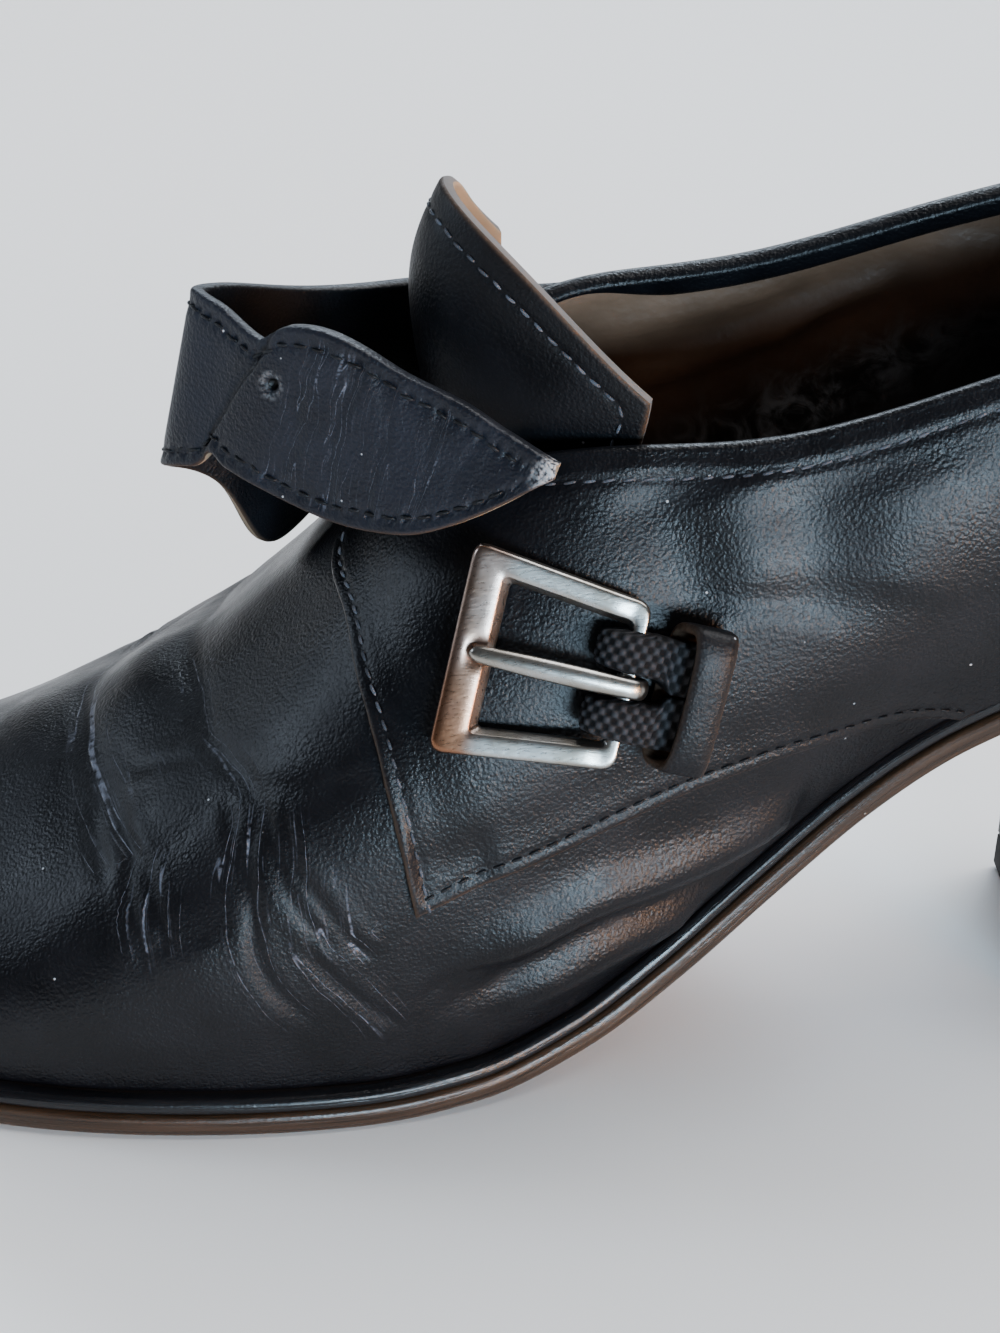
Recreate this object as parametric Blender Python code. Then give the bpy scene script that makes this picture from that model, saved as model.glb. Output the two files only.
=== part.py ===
"""Left women's monk strap shoe on a high block heel, with the strap unfastened.

Frame: metres, toe toward -X, lateral side toward -Y, +Z up, floor at z = 0, origin
under the middle of the shoe. The sizes and tables below are in millimetres.
"""
import bpy
import bmesh
import numpy as np

MM = 0.001
GAP = 0.3
OUTSOLE_THICK = 3.3
WELT_THICK = 1.9
INSOLE_THICK = 2.2
INSOLE_GAP = 1.1
WALL_THICK = 2.0
STACK = OUTSOLE_THICK + GAP + WELT_THICK + GAP
PANEL_GAP = 0.5
PANEL_THICK = 0.9
STRAP_THICK = 1.8
STRAP_GAP = 0.6
TONGUE_THICK = 2.0

ROUND_STEPS = 72
WALL_STEPS = 10

# The shoe is read all round in 24 stations: 0 is the back of the heel, 1 to 11 the lateral
# side, 12 the toe, 13 to 23 the medial side. A wall line climbs at each station from the
# feather edge on the sole to the collar or throat.
# Columns: feather x, feather y, rise and bulge of the wall at the feather,
# collar x, collar y, collar z, reach and drop of the wall below the collar.
STATIONS = np.array((
    (121.5, 0.0, 20.0, 6.0, 121.5, 0.0, 121.0, 3.0, 20.0),
    (112.0, -17.5, 20.0, 5.0, 113.5, -14.0, 119.5, 3.0, 20.0),
    (93.0, -25.5, 20.0, 5.0, 95.5, -20.5, 112.0, 4.0, 19.0),
    (71.0, -24.0, 19.0, 6.5, 73.5, -22.6, 102.5, 5.0, 17.0),
    (49.5, -20.5, 18.0, 9.0, 51.5, -23.0, 94.5, 7.0, 17.0),
    (28.0, -24.0, 20.0, 9.5, 29.0, -23.2, 87.3, 9.5, 22.0),
    (5.0, -32.0, 25.0, 7.0, 9.0, -22.5, 85.4, 13.0, 27.0),
    (-17.0, -38.5, 26.0, 4.0, -3.5, -18.8, 82.3, 20.0, 27.0),
    (-42.0, -40.8, 22.0, 2.5, -10.2, -13.2, 79.0, 30.0, 36.0),
    (-70.0, -37.5, 16.0, 2.0, -13.8, -8.2, 77.2, 37.0, 48.5),
    (-96.0, -27.0, 13.0, 2.0, -15.2, -4.2, 76.4, 41.0, 57.2),
    (-114.5, -13.0, 13.5, 2.0, -15.7, -1.6, 76.0, 42.0, 59.8),
    (-123.0, 4.0, 13.5, 2.0, -15.8, 0.6, 75.9, 42.0, 59.8),
    (-116.0, 18.5, 13.5, 2.0, -15.6, 2.6, 76.1, 42.0, 59.8),
    (-99.0, 30.5, 13.0, 2.0, -15.0, 5.0, 76.7, 41.0, 57.2),
    (-74.0, 38.5, 16.0, 2.0, -13.5, 8.8, 77.8, 37.0, 48.5),
    (-46.0, 38.5, 22.0, 2.5, -9.8, 13.6, 80.8, 30.0, 37.0),
    (-20.0, 31.5, 26.0, 5.0, -3.2, 19.0, 86.2, 20.0, 30.0),
    (4.0, 23.0, 26.0, 9.0, 9.0, 22.5, 90.2, 13.0, 29.0),
    (27.0, 17.5, 22.0, 12.0, 29.0, 23.2, 93.2, 9.5, 25.0),
    (49.0, 17.5, 19.0, 10.5, 51.5, 23.0, 100.0, 7.0, 20.0),
    (71.0, 22.5, 19.0, 7.0, 73.5, 22.6, 106.3, 5.0, 19.0),
    (93.0, 25.0, 20.0, 5.0, 95.5, 20.5, 113.5, 4.0, 19.0),
    (112.0, 17.5, 20.0, 5.0, 113.5, 14.0, 119.8, 3.0, 20.0),
))
STATION_COUNT = len(STATIONS)

# Underside of the outsole. Columns: x, height above the floor.
SOLE_PROFILE = (
    (-128, 7.0), (-110, 3.4), (-92, 1.0), (-74, 0.0), (-22, 0.0), (-6, 1.2), (8, 5.6), (20, 13.0),
    (32, 23.0), (44, 34.0), (56, 44.0), (68, 51.5), (80, 55.8), (100, 59.5), (128, 62.5),
)
# How far the sole stands out past the feather edge. Columns: x, overhang.
SOLE_OVERHANG = ((-130, 2.6), (-10, 2.4), (30, 1.0), (60, 0.6), (130, 1.0))
# Steps of the sole's side. Columns: height in the sole, setback from the overhang.
OUTSOLE_EDGE = ((0.0, 0.9), (0.5, 0.2), (1.6, 0.0), (2.8, 0.0), (3.3, 0.4))
WELT_EDGE = ((0.0, 0.9), (0.5, 0.6), (1.4, 0.6), (1.9, 1.0))
WELT_INSIDE = 5.0

# Edge of the lateral quarter, read in the wall's own terms. Columns: station, climb 0 to 1.
QUARTER_FRONT = (
    (7.05, 0.343), (7.27, 0.483), (7.52, 0.607), (7.83, 0.716), (8.31, 0.814), (9.1, 0.888),
    (10.5, 0.925), (11.4, 0.955), (11.5, 1.0),
)
QUARTER_LOWER = (
    (7.05, 0.343), (6.62, 0.382), (6.19, 0.408), (5.77, 0.432), (5.36, 0.43), (4.92, 0.385),
    (4.48, 0.29), (4.05, 0.16), (3.667, 0.0),
)
QUARTER_FRONT_COLUMNS = 13
QUARTER_HEEL_COLUMNS = 11
QUARTER_ROWS = 10

# Front face of the tongue at its middle line and at its two side edges, from foot to top.
# Columns: middle x, middle z, lateral x, lateral y, lateral z, medial x, medial y, medial z.
TONGUE_ROWS = np.array((
    (-20.5, 61.5, 2.0, -17.0, 66.0, 1.0, 17.0, 66.0),
    (-15.2, 69.0, 6.0, -17.8, 72.0, 1.0, 16.0, 73.0),
    (-13.0, 76.0, 9.0, -18.6, 77.5, -1.5, 14.2, 80.0),
    (-14.3, 86.0, 11.0, -19.4, 83.0, -3.5, 12.4, 88.0),
    (-15.8, 97.0, 12.0, -20.0, 88.0, -4.4, 11.0, 96.0),
    (-14.6, 105.0, 12.2, -20.3, 91.0, -4.6, 9.6, 102.0),
    (-12.0, 111.0, 12.0, -20.5, 93.5, -4.6, 8.4, 106.0),
))
TONGUE_COLUMNS = 15
TONGUE_LEVELS = 9

# Strap root, on the wall of the medial side. Columns: station, climb of its lower and upper edge.
STRAP_ROOT = ((19.0, 0.68, 0.93), (18.25, 0.64, 0.965), (17.5, 0.64, 0.985))
# Strap from the root over the fold to the tip.
# Columns: lower edge x, y, z, upper edge x, y, z.
STRAP_ROWS = np.array((
    (-13.5, 33.6, 62.0, -9.0, 23.8, 89.8),
    (-25.8, 25.0, 59.5, -20.5, 18.5, 90.8),
    (-34.6, 9.4, 57.9, -31.0, 11.0, 93.2),
    (-39.8, 2.8, 69.2, -38.0, 3.8, 96.2),
    (-46.0, -2.2, 74.2, -41.2, -1.8, 97.6),
    (-41.0, -7.4, 76.6, -37.2, -6.6, 98.0),
    (-35.5, -11.8, 77.2, -32.2, -11.5, 96.6),
    (-26.0, -18.2, 75.2, -25.0, -16.0, 96.0),
    (-18.3, -23.5, 75.5, -16.8, -20.2, 93.0),
    (-13.0, -26.2, 77.0, -9.0, -24.0, 91.4),
    (-6.0, -28.6, 81.0, -2.5, -27.6, 89.0),
    (0.8, -30.0, 85.8, 1.2, -30.0, 87.4),
))
STRAP_STATIONS = 44
STRAP_COLUMNS = 5

# Buckle: middle of its rear bar, and the directions toward its front bar and up along its bar.
BUCKLE_BAR = np.array((9.4, -36.5, 62.1))
BUCKLE_FORWARD = np.array((-20.3, 3.0, 3.7))
BUCKLE_UP = np.array((7.0, 8.0, 20.2))
# Frame between two rounded loops. Columns: forward, up, both for one corner of its upper half.
FRAME_OUTER = ((-0.95, 10.0), (20.8, 12.7))
FRAME_INNER = ((0.95, 7.0), (15.8, 8.7))
FRAME_OUTER_ROUND = 2.6
FRAME_INNER_ROUND = 1.0
FRAME_THICK = 2.4
FRAME_BAR_THICK = 1.9
FRAME_DIP = 0.5
FRAME_EDGE_STEPS = 6
FRAME_ARC_STEPS = 4
FRAME_SIDES = 8
# Prong from its eye round the bar to its tip. Columns: forward, out, width, thickness.
PRONG_ROWS = np.array((
    (1.1, -1.75, 2.4, 1.2),
    (-0.6, -2.0, 2.4, 1.2),
    (-1.85, -1.0, 2.4, 1.2),
    (-2.05, 0.4, 2.4, 1.2),
    (-1.3, 1.7, 2.4, 1.3),
    (0.6, 2.2, 2.5, 1.4),
    (4.5, 2.5, 2.5, 1.6),
    (9.0, 2.55, 2.5, 1.6),
    (14.0, 2.4, 2.3, 1.5),
    (18.6, 2.15, 1.9, 1.2),
))
PRONG_STATIONS = 25
# Elastic web: two lobes, one each side of the prong. Each wraps the bar and runs back.
WEB_HOLE = 1.4
WEB_OUTER = 2.5
WEB_FORWARD = 4.2
WEB_TAIL = 10.0
WEB_TAIL_LOW = -2.9
WEB_TAIL_HIGH = -0.9
WEB_LOBE = (1.7, 6.0)
# Keeper: a flat ring of leather round the tail of the web.
KEEPER_BACK = (-10.7, -3.5)
KEEPER_HALF = 9.0
KEEPER_LOW = -4.85
KEEPER_HIGH = 2.6
KEEPER_THICK = 1.2
# Behind the bar the quarter turns away from the buckle's plane: per mm up and per mm back.
TURN_UP = 0.18
TURN_BACK = 0.19
TURN_MIDDLE = -8.5

HEEL_BREAST = 3.22
HEEL_FOOT_START = 72.0
HEEL_TOP_START = 66.0
HEEL_FOOT_SCALE = 0.8
HEEL_LIFT = 6.0
HEEL_LEVELS = 8


def closed_spline(rows, at):
    """Smooth closed curve through equally spaced rows, read at positions counted in rows."""
    rows = np.asarray(rows, float)
    count = len(rows)
    eye = np.eye(count)
    system = 4.0 * eye + np.roll(eye, 1, axis=0) + np.roll(eye, -1, axis=0)
    bend = np.linalg.solve(system, 6.0 * (np.roll(rows, -1, 0) - 2.0 * rows + np.roll(rows, 1, 0)))
    at = np.asarray(at, float)
    low = np.floor(at).astype(int)
    part = (at - low)[..., None]
    rest = 1.0 - part
    here = low % count
    there = (low + 1) % count
    curve = rest * rows[here] + part * rows[there]
    return curve + ((rest**3 - rest) * bend[here] + (part**3 - part) * bend[there]) / 6.0


def open_spline(rows, at):
    """Smooth open curve through equally spaced rows, read at positions from 0 to 1."""
    rows = np.asarray(rows, float)
    count = len(rows)
    system = np.eye(count)
    load = np.zeros_like(rows)
    for row in range(1, count - 1):
        system[row, row - 1:row + 2] = (1.0, 4.0, 1.0)
        load[row] = 6.0 * (rows[row - 1] - 2.0 * rows[row] + rows[row + 1])
    bend = np.linalg.solve(system, load)
    at = np.asarray(at, float) * (count - 1)
    low = np.clip(np.floor(at).astype(int), 0, count - 2)
    part = (at - low)[..., None]
    rest = 1.0 - part
    curve = rest * rows[low] + part * rows[low + 1]
    return curve + ((rest**3 - rest) * bend[low] + (part**3 - part) * bend[low + 1]) / 6.0


def table_curve(table, at):
    """Smooth curve through (x, value) rows that never swings past them."""
    table = np.asarray(table, float)
    x = table[:, 0]
    y = table[:, 1]
    step = np.diff(x)
    rate = np.diff(y) / step
    slope = np.zeros(len(x))
    slope[0] = rate[0]
    slope[-1] = rate[-1]
    before = rate[:-1]
    after = rate[1:]
    same = before * after > 0.0
    heavy = 2.0 * step[1:] + step[:-1]
    light = step[1:] + 2.0 * step[:-1]
    spread = heavy / np.where(same, before, 1.0) + light / np.where(same, after, 1.0)
    slope[1:-1] = np.where(same, (heavy + light) / spread, 0.0)
    at = np.asarray(at, float)
    i = np.clip(np.searchsorted(x, at) - 1, 0, len(x) - 2)
    f = (at - x[i]) / step[i]
    start = (2.0 * f**3 - 3.0 * f**2 + 1.0) * y[i] + (f**3 - 2.0 * f**2 + f) * step[i] * slope[i]
    end = (3.0 * f**2 - 2.0 * f**3) * y[i + 1] + (f**3 - f**2) * step[i] * slope[i + 1]
    return start + end


def unit(vectors):
    return vectors / np.linalg.norm(vectors, axis=-1, keepdims=True)


def sole_point(x, y, height):
    """Point in the sole, a height above its underside measured square to the profile."""
    slope = (table_curve(SOLE_PROFILE, x + 0.05) - table_curve(SOLE_PROFILE, x - 0.05)) / 0.1
    climb = height / np.sqrt(1.0 + slope**2)
    return np.stack((x - climb * slope, y + 0.0 * x, table_curve(SOLE_PROFILE, x) + climb), axis=-1)


def feather(station):
    """Feather edge in plan, and the direction out of the shoe there."""
    station = np.asarray(station, float)
    plan = closed_spline(STATIONS[:, :2], station)
    ahead = closed_spline(STATIONS[:, :2], station + 0.01)
    behind = closed_spline(STATIONS[:, :2], station - 0.01)
    along = ahead - behind
    return plan, unit(np.stack((-along[..., 1], along[..., 0]), axis=-1))


def sole_ring(station, outward, height):
    """Line round the sole, an amount outside the feather edge and a height in the sole."""
    plan, out = feather(station)
    plan = plan + out * np.asarray(outward)[..., None]
    return sole_point(plan[:, 0], plan[:, 1], height)


def wall(station, climb):
    """Outer face of the upper: at each station a curve from the feather edge to the collar."""
    station, climb = np.broadcast_arrays(np.asarray(station, float), np.asarray(climb, float))
    row = closed_spline(STATIONS, station)
    plan, out = feather(station)
    foot = sole_point(row[..., 0], row[..., 1], STACK)
    collar = row[..., 4:7]
    lean = unit(plan - collar[..., :2] + 30.0 * out)
    first = foot + np.concatenate((out * row[..., 3:4], row[..., 2:3]), axis=-1)
    second = collar + np.concatenate((lean * row[..., 7:8], -row[..., 8:9]), axis=-1)
    s = climb[..., None]
    r = 1.0 - s
    return r**3 * foot + 3.0 * r**2 * s * first + 3.0 * r * s**2 * second + s**3 * collar


def skin(station, climb, outward):
    """Point an amount outside the outer face of the upper."""
    station = np.asarray(station, float)
    climb = np.asarray(climb, float)
    around = wall(station + 0.005, climb) - wall(station - 0.005, climb)
    upward = wall(station, climb + 0.001) - wall(station, climb - 0.001)
    return wall(station, climb) + unit(np.cross(upward, around)) * outward


def grid_faces(rows, columns, first, wrap_rows=False, wrap_columns=False):
    """Quads of a grid of points that are numbered row by row from first."""
    faces = []
    for i in range(rows if wrap_rows else rows - 1):
        for j in range(columns if wrap_columns else columns - 1):
            a = i * columns
            b = ((i + 1) % rows) * columns
            k = (j + 1) % columns
            faces.append((first + a + j, first + b + j, first + b + k, first + a + k))
    return faces


def make_object(name, points, faces, color, rough, metal=0.0):
    """One closed body from points in millimetres, with its own material."""
    mesh = bpy.data.meshes.new(name)
    mesh.from_pydata([tuple(float(c) * MM for c in p) for p in points], [], faces)
    work = bmesh.new()
    work.from_mesh(mesh)
    bmesh.ops.triangulate(work, faces=work.faces[:])
    bmesh.ops.recalc_face_normals(work, faces=work.faces[:])
    if work.calc_volume(signed=True) < 0.0:
        bmesh.ops.reverse_faces(work, faces=work.faces[:])
    work.to_mesh(mesh)
    work.free()
    material = bpy.data.materials.new(name)
    material.use_nodes = True
    shader = material.node_tree.nodes["Principled BSDF"]
    shader.inputs["Base Color"].default_value = (*color, 1.0)
    shader.inputs["Roughness"].default_value = rough
    shader.inputs["Metallic"].default_value = metal
    mesh.materials.append(material)
    thing = bpy.data.objects.new(name, mesh)
    bpy.context.scene.collection.objects.link(thing)
    return thing


def make_sheet(name, outer, inner, color, rough, wrap=False):
    """Sheet between two grids of points. With wrap, the rows close on themselves."""
    rows, columns = outer.shape[:2]
    half = rows * columns
    faces = grid_faces(rows, columns, 0, wrap_rows=wrap)
    faces += grid_faces(rows, columns, half, wrap_rows=wrap)
    last = columns - 1
    for i in range(rows if wrap else rows - 1):
        a = i * columns
        b = ((i + 1) % rows) * columns
        faces.append((a, b, half + b, half + a))
        faces.append((a + last, b + last, half + b + last, half + a + last))
    if not wrap:
        end = (rows - 1) * columns
        for j in range(columns - 1):
            faces.append((j, j + 1, half + j + 1, half + j))
            faces.append((end + j, end + j + 1, half + end + j + 1, half + end + j))
    points = np.concatenate((outer.reshape(-1, 3), inner.reshape(-1, 3)))
    return make_object(name, points, faces, color, rough)


def zip_cap(count, first):
    """Cover a ring of points by strips across it, point i to point count - i."""
    half = count // 2
    faces = [(first, first + 1, first + count - 1)]
    last = half - 1 if count % 2 == 0 else half
    for i in range(1, last):
        faces.append((first + i, first + i + 1, first + count - i - 1, first + count - i))
    if count % 2 == 0:
        faces.append((first + half - 1, first + half, first + half + 1))
    return faces


def make_plate(name, rings, color, rough):
    """Solid from rings stacked one over the other, covered below and above."""
    rings = np.asarray(rings)
    levels, count = rings.shape[:2]
    faces = grid_faces(levels, count, 0, wrap_columns=True)
    faces += zip_cap(count, 0)
    faces += zip_cap(count, (levels - 1) * count)
    return make_object(name, rings.reshape(-1, 3), faces, color, rough)


def make_tube(name, loops, color, rough, metal=0.0, wrap=False):
    """Solid from closed loops in a row, with flat ends unless it wraps."""
    loops = np.asarray(loops)
    rows, count = loops.shape[:2]
    faces = grid_faces(rows, count, 0, wrap_rows=wrap, wrap_columns=True)
    if not wrap:
        faces.append(tuple(range(count)))
        faces.append(tuple((rows - 1) * count + j for j in range(count)))
    return make_object(name, loops.reshape(-1, 3), faces, color, rough, metal)


def all_round():
    return np.arange(ROUND_STEPS) * STATION_COUNT / ROUND_STEPS


def overhang(station):
    plan, _ = feather(station)
    return table_curve(SOLE_OVERHANG, plan[:, 0])


def build_sole():
    station = all_round()
    reach = overhang(station)
    rings = [sole_ring(station, reach - back, high) for high, back in OUTSOLE_EDGE]
    make_plate("outsole", rings, (0.09, 0.05, 0.03), 0.4)
    base = OUTSOLE_THICK + GAP
    section = [sole_ring(station, reach - back, base + high) for high, back in WELT_EDGE]
    inside = 0.0 * reach - WELT_INSIDE
    section.append(sole_ring(station, inside, base + WELT_THICK))
    section.append(sole_ring(station, inside, base))
    make_tube("welt", np.stack(section, axis=1), (0.01, 0.01, 0.01), 0.3, wrap=True)
    inset = 0.0 * reach - WALL_THICK - INSOLE_GAP
    rings = [sole_ring(station, inset, STACK + high) for high in (0.0, INSOLE_THICK)]
    make_plate("insole", rings, (0.05, 0.035, 0.025), 0.6)


def heel_ring(part, gap):
    """Outline of the heel from the sole, part 0, to the floor end, part 1."""
    side = np.linspace(0.0, HEEL_BREAST, 15)
    lateral, out = feather(side)
    lateral = lateral + out * (overhang(side) - 0.9)[:, None]
    medial, out = feather(STATION_COUNT - side[1:])
    medial = medial + out * (overhang(STATION_COUNT - side[1:]) - 0.9)[:, None]
    top = np.concatenate((lateral, medial[::-1]))
    height = table_curve(SOLE_PROFILE, top[:, 0]) - gap
    low = top * HEEL_FOOT_SCALE
    low[:, 0] += HEEL_FOOT_START - HEEL_TOP_START * HEEL_FOOT_SCALE
    ease = 1.0 - (1.0 - part)**1.7
    plan = top + (low - top) * ease
    floor_end = HEEL_LIFT + GAP
    return np.column_stack((plan, height + (floor_end - height) * part))


def build_heel():
    rings = [heel_ring(part, 1.2 * GAP) for part in np.linspace(0.0, 1.0, HEEL_LEVELS)]
    make_plate("heel", rings, (0.012, 0.011, 0.011), 0.35)
    foot = heel_ring(1.0, GAP)
    middle = foot[:, :2].mean(axis=0)
    rings = []
    for high, size in ((0.0, 0.97), (0.6, 1.0), (HEEL_LIFT, 1.0)):
        ring = foot.copy()
        ring[:, :2] = middle + (ring[:, :2] - middle) * size
        ring[:, 2] = high
        rings.append(ring)
    make_plate("heel_top_piece", rings, (0.015, 0.015, 0.015), 0.7)


def build_upper():
    station = all_round()[:, None]
    climb = np.linspace(0.0, 1.0, WALL_STEPS)[None, :]
    outer = wall(station, climb)
    inner = skin(station + 0.0 * climb, climb + 0.0 * station, -WALL_THICK)
    make_sheet("upper", outer, inner, (0.012, 0.012, 0.014), 0.4, wrap=True)


def quarter_map():
    """Station and climb over the lateral quarter, on a grid from its front to the heel."""
    front_part = np.linspace(0.0, 1.0, QUARTER_FRONT_COLUMNS)
    heel_part = np.linspace(0.0, 1.0, QUARTER_HEEL_COLUMNS + 1)[1:]
    turn = QUARTER_LOWER[-1][0]
    low = open_spline(QUARTER_LOWER, front_part)
    low[-1] = (turn, 0.0)
    high = np.column_stack((QUARTER_FRONT[-1][0] + (turn - QUARTER_FRONT[-1][0]) * front_part,
                            np.ones(QUARTER_FRONT_COLUMNS)))
    heel_low = np.column_stack((turn * (1.0 - heel_part), np.zeros(QUARTER_HEEL_COLUMNS)))
    heel_high = np.column_stack((turn * (1.0 - heel_part), np.ones(QUARTER_HEEL_COLUMNS)))
    low = np.concatenate((low, heel_low))[:, None, :]
    high = np.concatenate((high, heel_high))[:, None, :]
    up = np.linspace(0.0, 1.0, QUARTER_ROWS)[None, :, None]
    straight = low * (1.0 - up) + high * up
    front = open_spline(QUARTER_FRONT, up[0, :, 0])[None]
    fade = np.concatenate((1.0 - front_part, np.zeros(QUARTER_HEEL_COLUMNS)))[:, None, None]
    both = straight + fade**1.5 * (front - straight[:1])
    return both[..., 0], np.clip(both[..., 1], 0.0, 1.0)


def build_quarters():
    station, climb = quarter_map()
    climb = 0.004 + 0.992 * climb
    for name, where in (("quarter_lateral", station), ("quarter_medial", STATION_COUNT - station)):
        side = 0.03 if name == "quarter_lateral" else -0.03
        where = np.where(station < 0.05, station + side, where)
        inner = skin(where, climb, PANEL_GAP)
        outer = skin(where, climb, PANEL_GAP + PANEL_THICK)
        make_sheet(name, outer, inner, (0.012, 0.012, 0.014), 0.4)


def thicken(middle, thickness):
    """The two faces of a sheet of even thickness round a grid of points."""
    along = np.gradient(middle, axis=0)
    across = np.gradient(middle, axis=1)
    square = unit(np.cross(along, across))
    return middle + square * thickness / 2.0, middle - square * thickness / 2.0


def build_tongue():
    row = open_spline(TONGUE_ROWS, np.linspace(0.0, 1.0, TONGUE_LEVELS))[:, None, :]
    across = np.linspace(-1.0, 1.0, TONGUE_COLUMNS)[None, :]
    side = np.where(across[..., None] < 0.0, row[..., 2:5], row[..., 5:8])
    bow = across**2
    x = row[..., 0] + (side[..., 0] - row[..., 0]) * bow
    y = side[..., 1] * np.abs(1.15 * across - 0.15 * across**3)
    z = row[..., 1] + (side[..., 2] - row[..., 1]) * bow
    front = np.stack((x, y, z), axis=-1)
    square = unit(np.cross(np.gradient(front, axis=1), np.gradient(front, axis=0)))
    make_sheet("tongue", front, front + square * TONGUE_THICK, (0.012, 0.012, 0.014), 0.4)


def build_strap():
    """Rows of points across the strap: on the wall at the root, straight across past it."""
    lift = PANEL_GAP + PANEL_THICK + STRAP_GAP + STRAP_THICK / 2.0
    part = np.linspace(0.0, 1.0, STRAP_COLUMNS)
    root = np.array(STRAP_ROOT)
    climb = root[:, 1:2] * (1.0 - part) + root[:, 2:3] * part
    root_rows = skin(root[:, 0:1] + 0.0 * climb, climb, lift)
    ends = STRAP_ROWS[:, None, :]
    free_rows = ends[..., :3] * (1.0 - part[:, None]) + ends[..., 3:] * part[:, None]
    rows = np.concatenate((root_rows, free_rows)).reshape(-1, STRAP_COLUMNS * 3)
    middle = open_spline(rows, np.linspace(0.0, 1.0, STRAP_STATIONS))
    outer, inner = thicken(middle.reshape(-1, STRAP_COLUMNS, 3), STRAP_THICK)
    make_sheet("strap", outer, inner, (0.012, 0.012, 0.014), 0.45)


def buckle_axes():
    forward = unit(BUCKLE_FORWARD)
    out = unit(np.cross(BUCKLE_UP, forward))
    up = np.cross(forward, out)
    return forward, up, out


def buckle_point(forward, up, out):
    """Point on the buckle, counted from the middle of its rear bar."""
    axes = buckle_axes()
    parts = (np.asarray(forward)[..., None] * axes[0], np.asarray(up)[..., None] * axes[1],
             np.asarray(out)[..., None] * axes[2])
    return BUCKLE_BAR + parts[0] + parts[1] + parts[2]


def turn_away(forward, up):
    """How far the quarter behind the bar lies out of the buckle's plane."""
    return TURN_UP * up + TURN_BACK * (forward - TURN_MIDDLE)


def section_angles(sides):
    return (np.arange(sides) + 0.5) * 2.0 * np.pi / sides


def rounded_loop(half_corners, rounding):
    """Closed loop through two corners and their mirror images, with rounded corners."""
    rear, front = (np.array(corner) for corner in half_corners)
    flip = np.array((1.0, -1.0))
    corners = (rear * flip, rear, front, front * flip)
    points = []
    for i in range(4):
        before = unit(corners[i] - corners[i - 1])
        after = unit(corners[(i + 1) % 4] - corners[i])
        start = corners[i] - before * rounding
        end = corners[i] + after * rounding
        turn = np.linspace(0.0, 1.0, FRAME_ARC_STEPS + 1)[:, None]
        arc = (1.0 - turn)**2 * start + 2.0 * turn * (1.0 - turn) * corners[i] + turn**2 * end
        goal = corners[(i + 1) % 4] - after * rounding
        along = np.linspace(0.0, 1.0, FRAME_EDGE_STEPS + 1)[1:-1, None]
        points.append(arc)
        points.append(end + (goal - end) * along)
    return np.concatenate(points)


def build_buckle_frame():
    outer = rounded_loop(FRAME_OUTER, FRAME_OUTER_ROUND)
    inner = rounded_loop(FRAME_INNER, FRAME_INNER_ROUND)
    middle = (outer + inner) / 2.0
    off_bar = np.clip((middle[:, :1] - 1.0) / 2.0, 0.0, 1.0)
    thick = FRAME_BAR_THICK + (FRAME_THICK - FRAME_BAR_THICK) * off_bar
    at_tip = (middle[:, :1] > 15.0) * np.exp(-(middle[:, 1:] / 1.6)**2)
    thick = thick - FRAME_DIP * at_tip
    turn = section_angles(FRAME_SIDES)[None, :]
    wide = np.sign(np.cos(turn)) * np.abs(np.cos(turn))**0.7
    deep = np.sign(np.sin(turn)) * np.abs(np.sin(turn))**0.7 * thick / 2.0
    reach = (outer - inner)[:, None, :] / 2.0 * wide[..., None]
    plan = middle[:, None, :] + reach
    loops = buckle_point(plan[..., 0], plan[..., 1], deep)
    make_tube("buckle_frame", loops, (0.6, 0.58, 0.55), 0.3, metal=1.0, wrap=True)


def build_buckle_prong():
    row = open_spline(PRONG_ROWS, np.linspace(0.0, 1.0, PRONG_STATIONS))
    along = unit(np.gradient(row[:, :2], axis=0))
    side = np.column_stack((-along[:, 1], along[:, 0]))
    turn = section_angles(8)[None, :]
    wide = np.cos(turn) * row[:, 2:3] / 2.0
    deep = np.sin(turn) * row[:, 3:4] / 2.0
    loops = buckle_point(row[:, 0:1] + side[:, 0:1] * deep, wide, row[:, 1:2] + side[:, 1:2] * deep)
    make_tube("buckle_prong", loops, (0.6, 0.58, 0.55), 0.3, metal=1.0)


def build_buckle_web():
    """Each lobe is a plate with a round hole for the bar, and a tail toward the heel."""
    turn = np.arange(20) * 2.0 * np.pi / 20
    hole = np.column_stack((np.cos(turn), np.sin(turn))) * WEB_HOLE
    rim = np.column_stack((np.cos(turn), np.sin(turn))) * WEB_OUTER
    rim[:, 0] *= np.where(np.cos(turn) > 0.0, WEB_FORWARD / WEB_OUTER, 1.0)
    behind = np.clip((-np.cos(turn) - 0.5) / 0.5, 0.0, 1.0)
    tail_z = np.where(np.sin(turn) > 0.0, WEB_TAIL_HIGH, WEB_TAIL_LOW)
    tail_z[10] = (WEB_TAIL_HIGH + WEB_TAIL_LOW) / 2.0
    rim[:, 0] -= behind**0.5 * (WEB_TAIL - WEB_OUTER)
    rim[:, 1] = np.where(behind > 0.0, tail_z, rim[:, 1])
    for name, sign in (("buckle_web_upper", 1.0), ("buckle_web_lower", -1.0)):
        loops = []
        for plan, end in ((hole, 0), (rim, 0), (rim, 1), (hole, 1)):
            up = np.full(20, sign * WEB_LOBE[end])
            out = plan[:, 1]
            if plan is rim:
                out = out + np.where(behind > 0.0, turn_away(plan[:, 0], up), 0.0)
            loops.append(buckle_point(plan[:, 0], up, out))
        make_tube(name, np.stack(loops, axis=0), (0.012, 0.012, 0.012), 0.8, wrap=True)


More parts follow.
